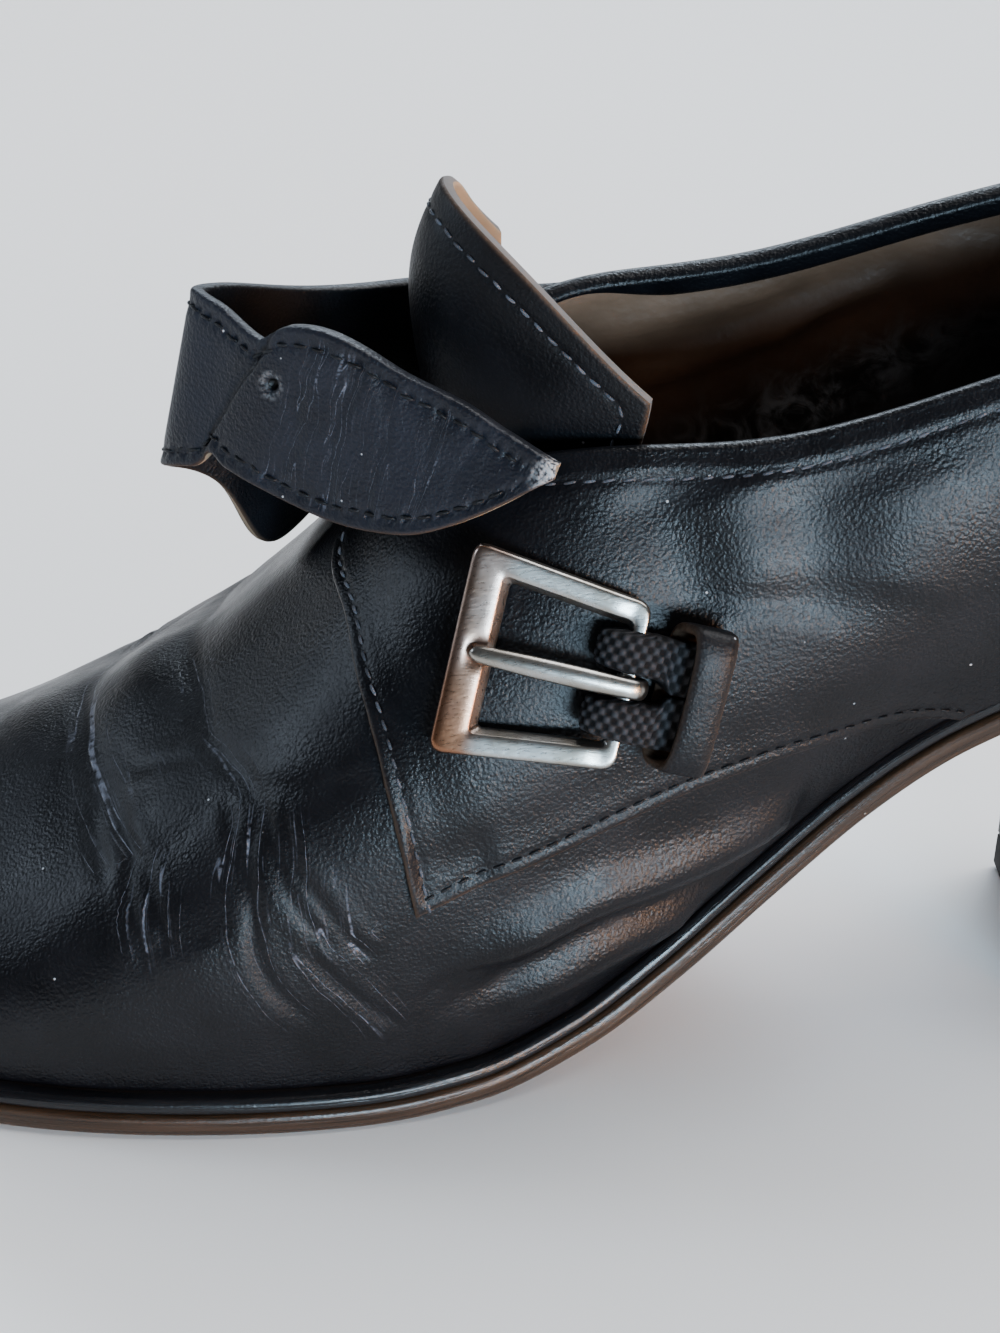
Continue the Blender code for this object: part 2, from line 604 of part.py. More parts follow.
def build_keeper():
    """Flat ring: an oval line across the strap's way, as wide as the strip is."""
    turn = np.arange(24) * 2.0 * np.pi / 24
    middle = (KEEPER_HIGH + KEEPER_LOW) / 2.0
    half = (KEEPER_HIGH - KEEPER_LOW) / 2.0
    across = np.sign(np.cos(turn)) * np.abs(np.cos(turn))**0.6
    out = np.sign(np.sin(turn)) * np.abs(np.sin(turn))**0.5
    loops = []
    for back, inside in ((0, 0.0), (1, 0.0), (1, KEEPER_THICK), (0, KEEPER_THICK)):
        forward = np.full(24, KEEPER_BACK[back])
        up = across * (KEEPER_HALF - inside)
        level = middle + out * (half - inside) + turn_away(forward, up)
        loops.append(buckle_point(forward, up, level))
    make_tube("strap_keeper", np.stack(loops, axis=0), (0.012, 0.012, 0.014), 0.45, wrap=True)


def main():
    for thing in list(bpy.data.objects):
        bpy.data.objects.remove(thing, do_unlink=True)
    build_sole()
    build_heel()
    build_upper()
    build_quarters()
    build_tongue()
    build_strap()
    build_buckle_frame()
    build_buckle_prong()
    build_buckle_web()
    build_keeper()


main()
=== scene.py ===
"""Looks of a left women's monk strap shoe on a high block heel, with the strap unfastened.

The shapes come from the same tables as the solids. Tables and shape functions are in
millimetres: toe toward -X, lateral side toward -Y, floor at z = 0.
"""

import math

import bmesh
import bpy
import numpy as np
from bpy.props import FloatProperty, FloatVectorProperty, PointerProperty
from mathutils import Matrix


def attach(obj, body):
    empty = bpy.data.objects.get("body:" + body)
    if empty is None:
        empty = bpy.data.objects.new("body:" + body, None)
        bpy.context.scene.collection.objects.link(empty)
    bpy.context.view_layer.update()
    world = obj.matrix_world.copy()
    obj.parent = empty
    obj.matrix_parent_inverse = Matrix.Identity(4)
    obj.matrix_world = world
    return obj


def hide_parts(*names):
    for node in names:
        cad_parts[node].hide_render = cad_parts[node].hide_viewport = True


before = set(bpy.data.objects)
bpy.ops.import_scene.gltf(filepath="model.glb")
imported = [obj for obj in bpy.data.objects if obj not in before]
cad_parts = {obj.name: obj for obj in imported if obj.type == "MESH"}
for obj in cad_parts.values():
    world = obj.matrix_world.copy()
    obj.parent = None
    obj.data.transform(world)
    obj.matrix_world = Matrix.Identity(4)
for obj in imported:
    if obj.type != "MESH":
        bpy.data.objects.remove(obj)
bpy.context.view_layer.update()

bl_info = {
    "name": "Monk strap shoe",
    "version": (1, 0, 0),
    "blender": (4, 5, 0),
    "location": "3D View > Sidebar > Shoe",
    "description": "Builds the visible pieces of a monk strap shoe round its solids",
    "category": "Object",
}

MM = 0.001
GAP = 0.3
OUTSOLE_THICK = 3.3
WELT_THICK = 1.9
INSOLE_THICK = 2.2
INSOLE_INSET = 3.1
WALL_THICK = 2.0
STACK = OUTSOLE_THICK + GAP + WELT_THICK + GAP
PANEL_LIFT = 1.4
PANEL_FOOT = 0.35
STRAP_LIFT = 2.9
STRAP_THICK = 1.8
TONGUE_THICK = 2.0

# Stations run all round: 0 is the back of the heel, 1 to 11 the lateral side, 12 the toe.
# Columns: feather x, feather y, rise and bulge of the wall at the feather,
# collar x, collar y, collar z, reach and drop of the wall below the collar.
STATIONS = np.array((
    (121.5, 0.0, 20.0, 6.0, 121.5, 0.0, 121.0, 3.0, 20.0),
    (112.0, -17.5, 20.0, 5.0, 113.5, -14.0, 119.5, 3.0, 20.0),
    (93.0, -25.5, 20.0, 5.0, 95.5, -20.5, 112.0, 4.0, 19.0),
    (71.0, -24.0, 19.0, 6.5, 73.5, -22.6, 102.5, 5.0, 17.0),
    (49.5, -20.5, 18.0, 9.0, 51.5, -23.0, 94.5, 7.0, 17.0),
    (28.0, -24.0, 20.0, 9.5, 29.0, -23.2, 87.3, 9.5, 22.0),
    (5.0, -32.0, 25.0, 7.0, 9.0, -22.5, 85.4, 13.0, 27.0),
    (-17.0, -38.5, 26.0, 4.0, -3.5, -18.8, 82.3, 20.0, 27.0),
    (-42.0, -40.8, 22.0, 2.5, -10.2, -13.2, 79.0, 30.0, 36.0),
    (-70.0, -37.5, 16.0, 2.0, -13.8, -8.2, 77.2, 37.0, 48.5),
    (-96.0, -27.0, 13.0, 2.0, -15.2, -4.2, 76.4, 41.0, 57.2),
    (-114.5, -13.0, 13.5, 2.0, -15.7, -1.6, 76.0, 42.0, 59.8),
    (-123.0, 4.0, 13.5, 2.0, -15.8, 0.6, 75.9, 42.0, 59.8),
    (-116.0, 18.5, 13.5, 2.0, -15.6, 2.6, 76.1, 42.0, 59.8),
    (-99.0, 30.5, 13.0, 2.0, -15.0, 5.0, 76.7, 41.0, 57.2),
    (-74.0, 38.5, 16.0, 2.0, -13.5, 8.8, 77.8, 37.0, 48.5),
    (-46.0, 38.5, 22.0, 2.5, -9.8, 13.6, 80.8, 30.0, 37.0),
    (-20.0, 31.5, 26.0, 5.0, -3.2, 19.0, 86.2, 20.0, 30.0),
    (4.0, 23.0, 26.0, 9.0, 9.0, 22.5, 90.2, 13.0, 29.0),
    (27.0, 17.5, 22.0, 12.0, 29.0, 23.2, 93.2, 9.5, 25.0),
    (49.0, 17.5, 19.0, 10.5, 51.5, 23.0, 100.0, 7.0, 20.0),
    (71.0, 22.5, 19.0, 7.0, 73.5, 22.6, 106.3, 5.0, 19.0),
    (93.0, 25.0, 20.0, 5.0, 95.5, 20.5, 113.5, 4.0, 19.0),
    (112.0, 17.5, 20.0, 5.0, 113.5, 14.0, 119.8, 3.0, 20.0),
))
STATION_COUNT = len(STATIONS)

# Underside of the outsole. Columns: x, height above the floor.
SOLE_PROFILE = (
    (-128, 7.0), (-110, 3.4), (-92, 1.0), (-74, 0.0), (-22, 0.0), (-6, 1.2), (8, 5.6), (20, 13.0),
    (32, 23.0), (44, 34.0), (56, 44.0), (68, 51.5), (80, 55.8), (100, 59.5), (128, 62.5),
)
# How far the sole stands out past the feather edge. Columns: x, overhang.
SOLE_OVERHANG = ((-130, 2.6), (-10, 2.4), (30, 1.0), (60, 0.6), (130, 1.0))
# Side of the outsole and of the welt. Columns: height in the piece, setback from the overhang.
OUTSOLE_EDGE = ((0.0, 1.5), (0.05, 0.9), (0.3, 0.45), (0.7, 0.18), (1.2, 0.04), (1.9, 0.0),
                (2.4, 0.0), (2.8, 0.1), (3.1, 0.3), (3.3, 0.6), (3.35, 1.2))
WELT_EDGE = ((-0.25, 1.3), (-0.1, 0.7), (0.2, 0.4), (0.6, 0.28), (1.1, 0.3), (1.5, 0.5), (1.8, 0.85),
             (1.95, 1.3), (2.0, 2.2))
WELT_INSIDE = 5.0

# Edge of the lateral quarter. Columns: station, climb 0 to 1.
QUARTER_FRONT = (
    (7.05, 0.343), (7.27, 0.483), (7.52, 0.607), (7.83, 0.716), (8.31, 0.814), (9.1, 0.888),
    (10.5, 0.925), (11.4, 0.955), (11.5, 1.0),
)
QUARTER_LOWER = (
    (7.05, 0.343), (6.62, 0.382), (6.19, 0.408), (5.77, 0.432), (5.36, 0.43), (4.92, 0.385),
    (4.48, 0.29), (4.05, 0.16), (3.667, 0.0),
)

# Parts of the quarter's length and height where its grid lines crowd at the cut edges.
QUARTER_FRONT_PARTS = (0.0, 0.0012, 0.003, 0.006, 0.009, 0.0125, 0.016, 0.0195, 0.024, 0.03)
QUARTER_LOW_PARTS = (0.0, 0.003, 0.008, 0.014, 0.02, 0.027, 0.034, 0.042, 0.052, 0.065)

# Creases of the vamp. Columns: depth, half width, rise of its banks, wear,
# then its line as pairs of station and climb.
VAMP_CREASES = (
    (0.22, 1.1, 0.1, 0.7, ((12.6, 0.67), (12.0, 0.69), (11.2, 0.69), (10.5, 0.67), (9.9, 0.63),
                           (9.3, 0.56), (9.0, 0.5))),
    (0.32, 0.9, 0.12, 0.9, ((11.0, 0.69), (10.2, 0.667), (9.4, 0.61), (8.95, 0.52), (8.6, 0.41),
                            (8.36, 0.28))),
    (0.16, 0.8, 0.08, 0.5, ((11.4, 0.695), (10.5, 0.685), (9.9, 0.665), (9.45, 0.625))),
    (0.3, 0.9, 0.12, 0.8, ((9.8, 0.645), (9.2, 0.59), (8.8, 0.515), (8.5, 0.42), (8.4, 0.35))),
    (0.14, 0.9, 0.08, 0.3, ((11.2, 0.7), (10.6, 0.7), (10.1, 0.7), (9.65, 0.72), (9.3, 0.71))),
    (0.24, 1.2, 0.12, 0.5, ((12.4, 0.79), (11.4, 0.79), (10.4, 0.78), (9.5, 0.74), (9.0, 0.71), (8.6, 0.665),
                            (8.4, 0.61))),
    (0.36, 0.9, 0.16, 1.0, ((8.5, 0.65), (8.36, 0.59), (8.24, 0.53), (8.03, 0.43), (7.9, 0.34),
                            (7.74, 0.25), (7.56, 0.18), (7.42, 0.13))),
    (0.4, 0.9, 0.18, 1.0, ((8.6, 0.68), (8.3, 0.606), (8.12, 0.545), (7.9, 0.466), (7.7, 0.39),
                           (7.49, 0.317), (7.34, 0.266))),
    (0.4, 0.9, 0.18, 1.0, ((8.35, 0.653), (8.1, 0.577), (7.94, 0.513), (7.7, 0.43), (7.5, 0.357),
                           (7.32, 0.295), (7.19, 0.267))),
    (0.3, 0.8, 0.14, 0.9, ((7.66, 0.36), (7.53, 0.28), (7.35, 0.215), (7.16, 0.157), (6.94, 0.1))),
    (0.22, 0.8, 0.1, 0.8, ((8.9, 0.676), (8.55, 0.605), (8.3, 0.524), (8.1, 0.436))),
    (0.16, 1.3, 0.08, 0.1, ((8.69, 0.69), (8.17, 0.642), (7.85, 0.626), (7.61, 0.622))),
    (0.2, 0.9, 0.1, 0.05, ((6.95, 0.15), (6.7, 0.2), (6.35, 0.19))),
)
# Line across the vamp, from sole to sole, that the fine lines of the leather run along.
FLOW_LINE = ((7.2, 0.0), (7.42, 0.13), (7.74, 0.26), (8.03, 0.43), (8.33, 0.58), (8.75, 0.69), (9.5, 0.745),
             (10.5, 0.78), (12.0, 0.795), (13.5, 0.78), (14.5, 0.745), (15.25, 0.69), (15.67, 0.58),
             (15.97, 0.43), (16.26, 0.26), (16.58, 0.13), (16.8, 0.0))
# Broad folds. Columns: height outward, half width, then the line as station and climb.
SOFT_FOLDS = (
    (0.75, 7.0, ((13.5, 0.735), (12.0, 0.742), (10.6, 0.73), (9.6, 0.68), (8.9, 0.59))),
    (0.5, 8.0, ((13.4, 0.62), (12.0, 0.635), (10.5, 0.61), (9.4, 0.53), (8.8, 0.42))),
    (-0.45, 4.5, ((13.2, 0.79), (12.0, 0.795), (10.6, 0.785), (9.5, 0.745), (8.7, 0.67),
                  (8.3, 0.56), (8.0, 0.42))),
    (-0.35, 4.5, ((13.0, 0.68), (12.0, 0.69), (10.8, 0.685), (9.9, 0.64), (9.1, 0.53))),
    (0.5, 5.0, ((8.35, 0.4), (8.1, 0.3), (7.85, 0.2), (7.6, 0.12))),
    (-1.6, 2.8, ((7.0, 0.14), (6.48, 0.165), (6.1, 0.19), (5.73, 0.195), (5.27, 0.14), (4.87, 0.07),
                 (4.5, 0.0))),
    (2.5, 4.0, ((6.9, 0.215), (6.16, 0.262), (5.68, 0.268), (4.93, 0.19), (4.6, 0.12))),
    (1.3, 3.4, ((6.5, 0.1), (5.82, 0.11), (5.45, 0.08), (5.0, 0.0))),
    (-0.9, 6.0, ((5.95, 0.99), (5.71, 0.9), (5.6, 0.82), (5.5, 0.72))),
    (0.6, 6.0, ((5.36, 0.97), (5.26, 0.87), (5.2, 0.74))),
    (-0.6, 7.0, ((4.95, 0.95), (4.9, 0.8), (4.95, 0.66))),
    (0.6, 8.0, ((4.5, 0.92), (4.4, 0.75), (4.4, 0.6))),
    (-0.6, 4.0, ((7.2, 0.44), (6.95, 0.43), (6.6, 0.43))),
)
# Folds of the lining on the medial side, inward. Same columns.
LINING_FOLDS = (
    (0.9, 1.8, ((18.1, 0.78), (18.5, 0.81), (18.9, 0.825), (19.2, 0.84), (19.55, 0.89))),
    (-0.5, 2.0, ((18.2, 0.84), (18.7, 0.87), (19.2, 0.89), (19.6, 0.93))),
    (0.7, 1.8, ((17.9, 0.9), (18.46, 0.93), (18.97, 0.94), (19.4, 0.955))),
    (0.8, 1.6, ((19.15, 0.79), (19.38, 0.84), (19.7, 0.86), (20.0, 0.87))),
    (0.8, 2.2, ((20.4, 0.66), (20.45, 0.78), (20.52, 0.92))),
    (0.7, 2.0, ((20.2, 0.72), (20.22, 0.84), (20.28, 0.95))),
)

# Front face of the tongue at its middle line and at its two side edges, from foot to top.
# Columns: middle x, middle z, lateral x, lateral y, lateral z, medial x, medial y, medial z.
TONGUE_ROWS = np.array((
    (-20.5, 61.5, 2.0, -17.0, 66.0, 1.0, 17.0, 66.0),
    (-15.2, 69.0, 6.0, -17.8, 72.0, 1.0, 16.0, 73.0),
    (-13.0, 76.0, 9.0, -18.6, 77.5, -1.5, 14.2, 80.0),
    (-14.3, 86.0, 11.0, -19.4, 83.0, -3.5, 12.4, 88.0),
    (-15.8, 97.0, 12.0, -20.0, 88.0, -4.4, 11.0, 96.0),
    (-14.6, 105.0, 12.2, -20.3, 91.0, -4.6, 9.6, 102.0),
    (-12.0, 111.0, 12.0, -20.5, 93.5, -4.6, 8.4, 106.0),
))

# How far the top of the tongue is cut down at its lateral and medial corner, as part of its height.
TONGUE_DROP = (0.2, 0.17)

# Strap root, on the wall of the medial side. Columns: station, climb of its lower and upper edge.
STRAP_ROOT = ((19.0, 0.68, 0.93), (18.25, 0.64, 0.965), (17.5, 0.64, 0.985))
# Strap from the root over the fold to the tip. Columns: lower edge x, y, z, upper edge x, y, z.
STRAP_ROWS = np.array((
    (-13.5, 33.6, 62.0, -9.0, 23.8, 89.8),
    (-25.8, 25.0, 59.5, -20.5, 18.5, 90.8),
    (-34.6, 9.4, 57.9, -31.0, 11.0, 93.2),
    (-39.8, 2.8, 69.2, -38.0, 3.8, 96.2),
    (-46.0, -2.2, 74.2, -41.2, -1.8, 97.6),
    (-41.0, -7.4, 76.6, -37.2, -6.6, 98.0),
    (-35.5, -11.8, 77.2, -32.2, -11.5, 96.6),
    (-26.0, -18.2, 75.2, -25.0, -16.0, 96.0),
    (-18.3, -23.5, 75.5, -16.8, -20.2, 93.0),
    (-13.0, -26.2, 77.0, -9.0, -24.0, 91.4),
    (-6.0, -28.6, 81.0, -2.5, -27.6, 89.0),
    (0.8, -30.0, 85.8, 1.2, -30.0, 87.4),
))
STRAP_HOLE = (-31.3, -13.0, 90.0)
# Fine shape of the strap's edges. Columns: part of its length, shift in mm toward the upper side.
STRAP_UPPER_SHIFT = ((0.0, 0.0), (0.5, 0.0), (0.55, -0.8), (0.6, -1.7), (0.635, -1.9),
                     (0.65, -0.6), (0.672, 1.0), (0.7, 1.6), (0.75, 1.9), (0.8, 1.4),
                     (0.85, 0.7), (0.9, 0.0), (1.0, 0.0))
STRAP_LOWER_SHIFT = ((0.0, 0.0), (0.56, 0.0), (0.588, 2.0), (0.62, 0.5), (0.66, 0.0), (1.0, 0.0))
# Where the tab begins: part of the strap's length at the lower edge, and its growth to the upper one.
TAB_START = (0.577, 0.08)
TAB_RISE = 0.55
# Length of one pucker along the strap's seams.
STRAP_PUCKER = 2.4
# Creases across the strap. Columns: part of its length at the lower and the upper edge, depth, wear.
STRAP_CREASES = (
    (0.43, 0.44, 0.4, 0.2), (0.67, 0.71, 0.2, 0.6), (0.715, 0.745, 0.26, 0.7), (0.765, 0.78, 0.2, 0.6),
    (0.82, 0.84, 0.16, 0.6), (0.87, 0.88, 0.12, 0.4),
)

# Buckle: middle of its rear bar, and the directions toward its front bar and up along its bar.
BUCKLE_BAR = np.array((9.4, -36.5, 62.1))
BUCKLE_FORWARD = np.array((-20.3, 3.0, 3.7))
BUCKLE_UP = np.array((7.0, 8.0, 20.2))
# Frame between two rounded loops. Columns: forward, up, both for one corner of its upper half.
FRAME_OUTER = ((-0.95, 10.0), (20.8, 12.7))
FRAME_INNER = ((0.95, 7.0), (15.8, 8.7))
FRAME_OUTER_ROUND = 1.9
FRAME_INNER_ROUND = 0.7
FRAME_THICK = 2.4
FRAME_BAR_THICK = 1.9
# Section of the frame. Columns: from inner edge -1 to outer edge 1, from back -1 to face 1.
FRAME_SECTION = (
    (-1.0, -0.75), (-1.0, -0.35), (-0.98, 0.05), (-0.7, 0.66), (-0.58, 0.86), (-0.3, 0.97), (0.2, 1.0),
    (0.62, 0.98), (0.86, 0.84), (0.97, 0.5), (1.0, 0.0), (0.98, -0.7), (0.85, -0.95), (0.4, -1.0),
    (-0.4, -1.0), (-0.85, -0.95),
)
# Prong from its eye round the bar to its tip. Columns: forward, out, width, thickness.
PRONG_ROWS = np.array((
    (1.1, -1.75, 2.4, 1.2),
    (-0.6, -2.0, 2.4, 1.2),
    (-1.85, -1.0, 2.4, 1.2),
    (-2.05, 0.4, 2.4, 1.2),
    (-1.3, 1.7, 2.4, 1.3),
    (0.6, 2.2, 2.5, 1.4),
    (4.5, 2.5, 2.6, 1.6),
    (9.0, 2.55, 2.6, 1.6),
    (14.0, 2.4, 2.4, 1.5),
    (18.6, 2.1, 1.9, 1.1),
))
# Elastic web: two lobes, one each side of the prong. Each wraps the bar and runs back.
WEB_SIDE = ((-10.0, -2.9), (-6.0, -2.9), (-2.2, -2.6), (0.6, -2.45), (3.0, -1.7), (4.1, 0.0), (3.2, 1.75),
            (0.8, 2.6), (-1.8, 2.2), (-4.6, 0.9), (-7.5, -0.3), (-10.0, -0.8))
WEB_LOBE = (1.45, 6.6)
WEB_MEET = 0.12
WEB_BULGE = 0.7
WEB_PITCH = (1.55, 1.72)
WEB_PIP = 0.3
# Keeper: a flat ring of leather round the tail of the web.
KEEPER_BACK = (-10.7, -3.5)
KEEPER_HALF = 9.0
KEEPER_LOW = -4.85
KEEPER_HIGH = 2.6
KEEPER_THICK = 1.3
KEEPER_LEAN = 2.1
KEEPER_NARROW = 1.3
KEEPER_PROUD = 0.9
# Behind the bar the quarter turns away from the buckle's plane: per mm up and per mm back.
TURN_UP = 0.18
TURN_BACK = 0.19
TURN_MIDDLE = -8.5

HEEL_BREAST = 3.22
HEEL_FOOT_START = 72.0
HEEL_TOP_START = 66.0
HEEL_FOOT_SCALE = 0.8
HEEL_LIFT = 6.0
HEEL_SETBACK = 0.9

# The photograph's view: turn, tilt and roll in degrees, place and focal length in pixels.
VIEW_TURN = 3.0
VIEW_TILT = 29.5
VIEW_ROLL = 1.5
VIEW_PLACE = (-17.6, -271.1, 197.6)
VIEW_FOCAL = 2335.8
VIEW_TALL = 1333.0

# Steps for slopes: in mm along the sole, in stations and in climb.
SLOPE_STEP = 0.05
STATION_STEP = 0.005
CLIMB_STEP = 0.001
# How strongly the wall below the collar leans out along the feather edge's own direction.
COLLAR_LEAN = 30.0
# Creases and folds outside on the medial side, as part of those on the lateral side.
MEDIAL_SHARE = 0.7
# Folds of the lining on the lateral side, as part of those on the medial side.
LINING_SHARE = 0.8
# Part of a crease's or fold's length over which it fades out at each end.
END_FADE = 0.22

# Fineness of the upper. Columns: from station, to station, loops per station.
UPPER_SPANS = ((0.0, 5.0, 8), (5.0, 6.5, 20), (6.5, 13.0, 38), (13.0, 17.0, 20), (17.0, 24.0, 8))
OUTER_ROWS = 128
COLLAR_ROWS = 5
LINING_ROWS = 48
LINING_FOLD_SCALE = 1.5
# Rubbed place on the lining: station and climb of its middle, then its half sizes.
LINING_RUB = (19.5, 0.6, 0.8, 0.1)
# Fineness of the other pieces, as rows and columns or as points round.
QUARTER_FINENESS = (110, 44, 62)
TONGUE_FINENESS = (84, 110)
STRAP_FINENESS = (330, 60)
KEEPER_FINENESS = (96, 28)
FRAME_FINENESS = (26, 8, 48)
PRONG_FINENESS = (110, 18)
WEB_FINENESS = (46, 210)
SOLE_POINTS = 420
HEEL_FINENESS = (40, 70)
STITCH_SIDES = 6

# Seams, in mm inside the edge of their piece.
QUARTER_SEAM = 1.8
COLLAR_SEAM = 3.1
TONGUE_SEAM = 3.4
STRAP_SEAM = 2.2
# The tongue's seam begins at this row of its grid and ends at this column.
TONGUE_SEAM_SPAN = (30, 92)
# The strap's seams begin at this row of its grid and stop this far from the tip.
STRAP_SEAM_START = 10
STRAP_SEAM_STOP = 5.0
# How far the seams lie under the height of the panel or strap.
FRONT_SEAM_SINK = 0.28
LOWER_SEAM_SINK = 0.34
COLLAR_SEAM_SINK = 0.3
STRAP_SEAM_SINK = 0.22
# Collar seam: from station, to station, points.
COLLAR_SEAM_SPAN = (10.2, 0.12, 700)
# Grooves along the seams, and the coloured line along cut edges. Columns: depth or strength, half width.
QUARTER_GROOVE = (0.2, 0.5)
COLLAR_GROOVE = (0.24, 0.6)
TONGUE_GROOVE = (0.16, 0.6)
QUARTER_RIM = (0.8, 0.3)
TONGUE_RIM = (0.7, 0.35)
STRAP_RIM = (0.6, 0.3)
# Strap groove: depth, distance from the edge, half width. Its depth swings by a part along the seam.
STRAP_GROOVE = (0.24, 2.0, 0.8)
STRAP_PUCKER_SHARE = 0.6
# Radius of each sheet's rounded edge.
QUARTER_ROUND = 0.55
TONGUE_ROUND = 0.7
STRAP_ROUND = 0.6
# How much the tongue thins at its edge from each side, in mm, and what part of the strap's thickness
# is left at its edge.
TONGUE_THIN = 0.35
STRAP_THIN = 0.4
# The quarter thins toward the collar by a part over a half width, and is hollow inside its edge:
# depth, distance from the edge, half width. Its back lies this deep in the wall.
QUARTER_SKIVE = (0.45, 1.5)
QUARTER_HOLLOW = (0.35, 5.0, 3.5)
QUARTER_SINK = 0.5
# Facing inside the collar: stations where it begins to narrow and over which it does, how far it stands
# off the lining, how much less at the front, how much narrower there, its thickness and its taper.
FACING_FRONT = (5.4, 0.8)
FACING_PROUD = 0.4
FACING_FLATTER = 0.35
FACING_NARROWER = 0.85
FACING_THICK = 0.55
FACING_TAPER = 0.5
# Points of the collar's half circle and of the facing.
COLLAR_TURN_POINTS = 11
FACING_POINTS = 9
# Creases of the strap: bank as part of the depth, its distance and half width, then the half widths of
# the crease and of its wear, and the distance from the edge at which it is full.
STRAP_BANK = (0.5, 1.8, 1.4)
STRAP_CREASE_HALF = 0.9
STRAP_WEAR_HALF = 3.2
STRAP_CREASE_EDGE = 2.5
# Strap hole: depth, radius, and the pale ring round it as strength, radius, half width.
HOLE_DEPTH = 1.2
HOLE_RADIUS = 0.85
HOLE_RING = (0.25, 1.35, 0.3)
# Notch for the prong in the front bar: depth, half width, where the front bar begins, and where the
# notch ends with the length over which it does.
NOTCH_DEPTH = 0.75
NOTCH_HALF = 1.25
FRONT_BAR = 14.0
NOTCH_END = (19.6, 2.0)
# Part of the prong's length at which its tip begins to close.
PRONG_TIP = 0.965
# Climb over which folds and creases fade in above the sole. Those of the lining end at a climb below
# the collar and fade over a span.
CREASE_FOOT = 0.05
LINING_TOP = (0.97, 0.05)
# Climb up to which shade is painted on the lining, near black deep inside, and the span over which that
# fades.
LINING_PAINTED_SHADE = (0.6, 0.18)
# One stitch from end to end. Columns: place -1 to 1, thickness as part of the thread's width.
STITCH_ROWS = np.array(((-1.0, 0.3), (-0.72, 0.85), (0.0, 1.0), (0.72, 0.85), (1.0, 0.3)))
STITCH_SINK = 0.264
# Pitch, length and width of the strap's stitches, as multiples of the others.
STRAP_STITCH = (1.05, 1.15, 1.1)

# Edge of the heel's top piece. Columns: height, size as part of the outline.
HEEL_TOP_EDGE = np.array(((0.0, 0.962), (0.15, 0.978), (0.5, 0.994), (1.0, 1.0), (HEEL_LIFT - 0.3, 1.0),
                          (HEEL_LIFT, 0.99)))
INSOLE_EDGE = ((0.0, 0.0), (INSOLE_THICK - 0.4, 0.0), (INSOLE_THICK, 0.5))
# Millimetres of edge per station, for the streaks of the sole's edge.
STATION_LENGTH = 24.0

# Painted shade inside the strap's hole.
PAINTED_HOLE_SHADE = (0.001, 0.001, 0.001)
# Painted shade deep inside the lining.
DEEP_SHADE = (0.007, 0.007, 0.008)
RUBBED_LINING = (0.3, 0.33, 0.37)
PALE_FIBRES = (0.4, 0.4, 0.41)
DUST = (0.5, 0.5, 0.52)
SOLE_DUST = (0.45, 0.43, 0.4)
# Brown reflection painted on the buckle's front bar.
PAINTED_BROWN_REFLECTION = (0.19, 0.075, 0.032)
GREY_EDGE = (0.1, 0.09, 0.085)
BEIGE_EDGE = (0.2, 0.14, 0.09)
ROOM = (0.93, 0.95, 1.0)
FLOOR_HALF = 40.0
LIGHT_AIM = (0.0, 0.0, 0.05)
SENSOR = 36.0


def number_property(name, description, default, **more):
    """Property for a number that isn't below zero."""
    return FloatProperty(name=name, description=description, default=default, min=0.0, **more)


def colour_property(name, description, default):
    """Property for a colour."""
    return FloatVectorProperty(name=name, description=description, default=default, subtype="COLOR",
                               size=3, min=0.0, max=1.0)


class MonkShoeSizes(bpy.types.PropertyGroup):
    """Sizes of the fine work"""
    stitch_pitch: number_property("Stitch pitch", "From one stitch to the next", 0.0023, unit="LENGTH")
    stitch_length: number_property("Stitch length", "Length of one stitch that shows", 0.0016, unit="LENGTH")
    thread_width: number_property("Thread width", "Width of the thread", 0.00042, unit="LENGTH")
    collar_bead: number_property("Collar bead", "Radius of the turned edge of the collar", 0.0009,
                                 unit="LENGTH")
    facing_depth: number_property("Facing depth", "How far the collar's leather runs down inside", 0.003,
                                  unit="LENGTH")
    crease_depth: number_property("Crease depth", "Strength of the creases and folds", 1.0, max=2.0)
    grain_size: number_property("Grain size", "Size of one pebble of the leather's grain", 0.00045,
                                unit="LENGTH")


class MonkShoeFinish(bpy.types.PropertyGroup):
    """Colours and gloss of the pieces"""
    leather: colour_property("Leather", "Smooth black upper", (0.0024, 0.0025, 0.0035))
    strap: colour_property("Strap leather", "Duller black of the strap", (0.006, 0.0072, 0.0115))
    worn: colour_property("Worn leather", "Scuffed places and crease lines", (0.15, 0.16, 0.2))
    raw_edge: colour_property("Raw edge", "Cut edge of the leather", (0.075, 0.045, 0.028))
    lining: colour_property("Lining", "Tan leather inside", (0.14, 0.08, 0.049))
    pale_lining: colour_property("Pale lining", "Beige back of the tongue", (0.26, 0.165, 0.095))
    insole: colour_property("Insole", "Dark sock that the foot stands on", (0.02, 0.019, 0.02))
    sole_edge: colour_property("Sole edge", "Brown polished edge of the outsole", (0.026, 0.014, 0.0075))
    sole_under: colour_property("Sole underside", "Leather that meets the floor", (0.25, 0.15, 0.085))
    welt: colour_property("Welt", "Black polished strip", (0.004, 0.004, 0.005))
    thread: colour_property("Thread", "Grey thread of the seams", (0.085, 0.09, 0.108))
    metal: colour_property("Metal", "Satin nickel of the buckle", (0.35, 0.345, 0.33))
    web: colour_property("Web", "Black woven elastic", (0.007, 0.007, 0.008))
    rubber: colour_property("Rubber", "Top piece of the heel", (0.018, 0.018, 0.018))
    leather_roughness: number_property("Leather roughness", "Roughness of the upper", 0.36, max=1.0,
                                       subtype="FACTOR")


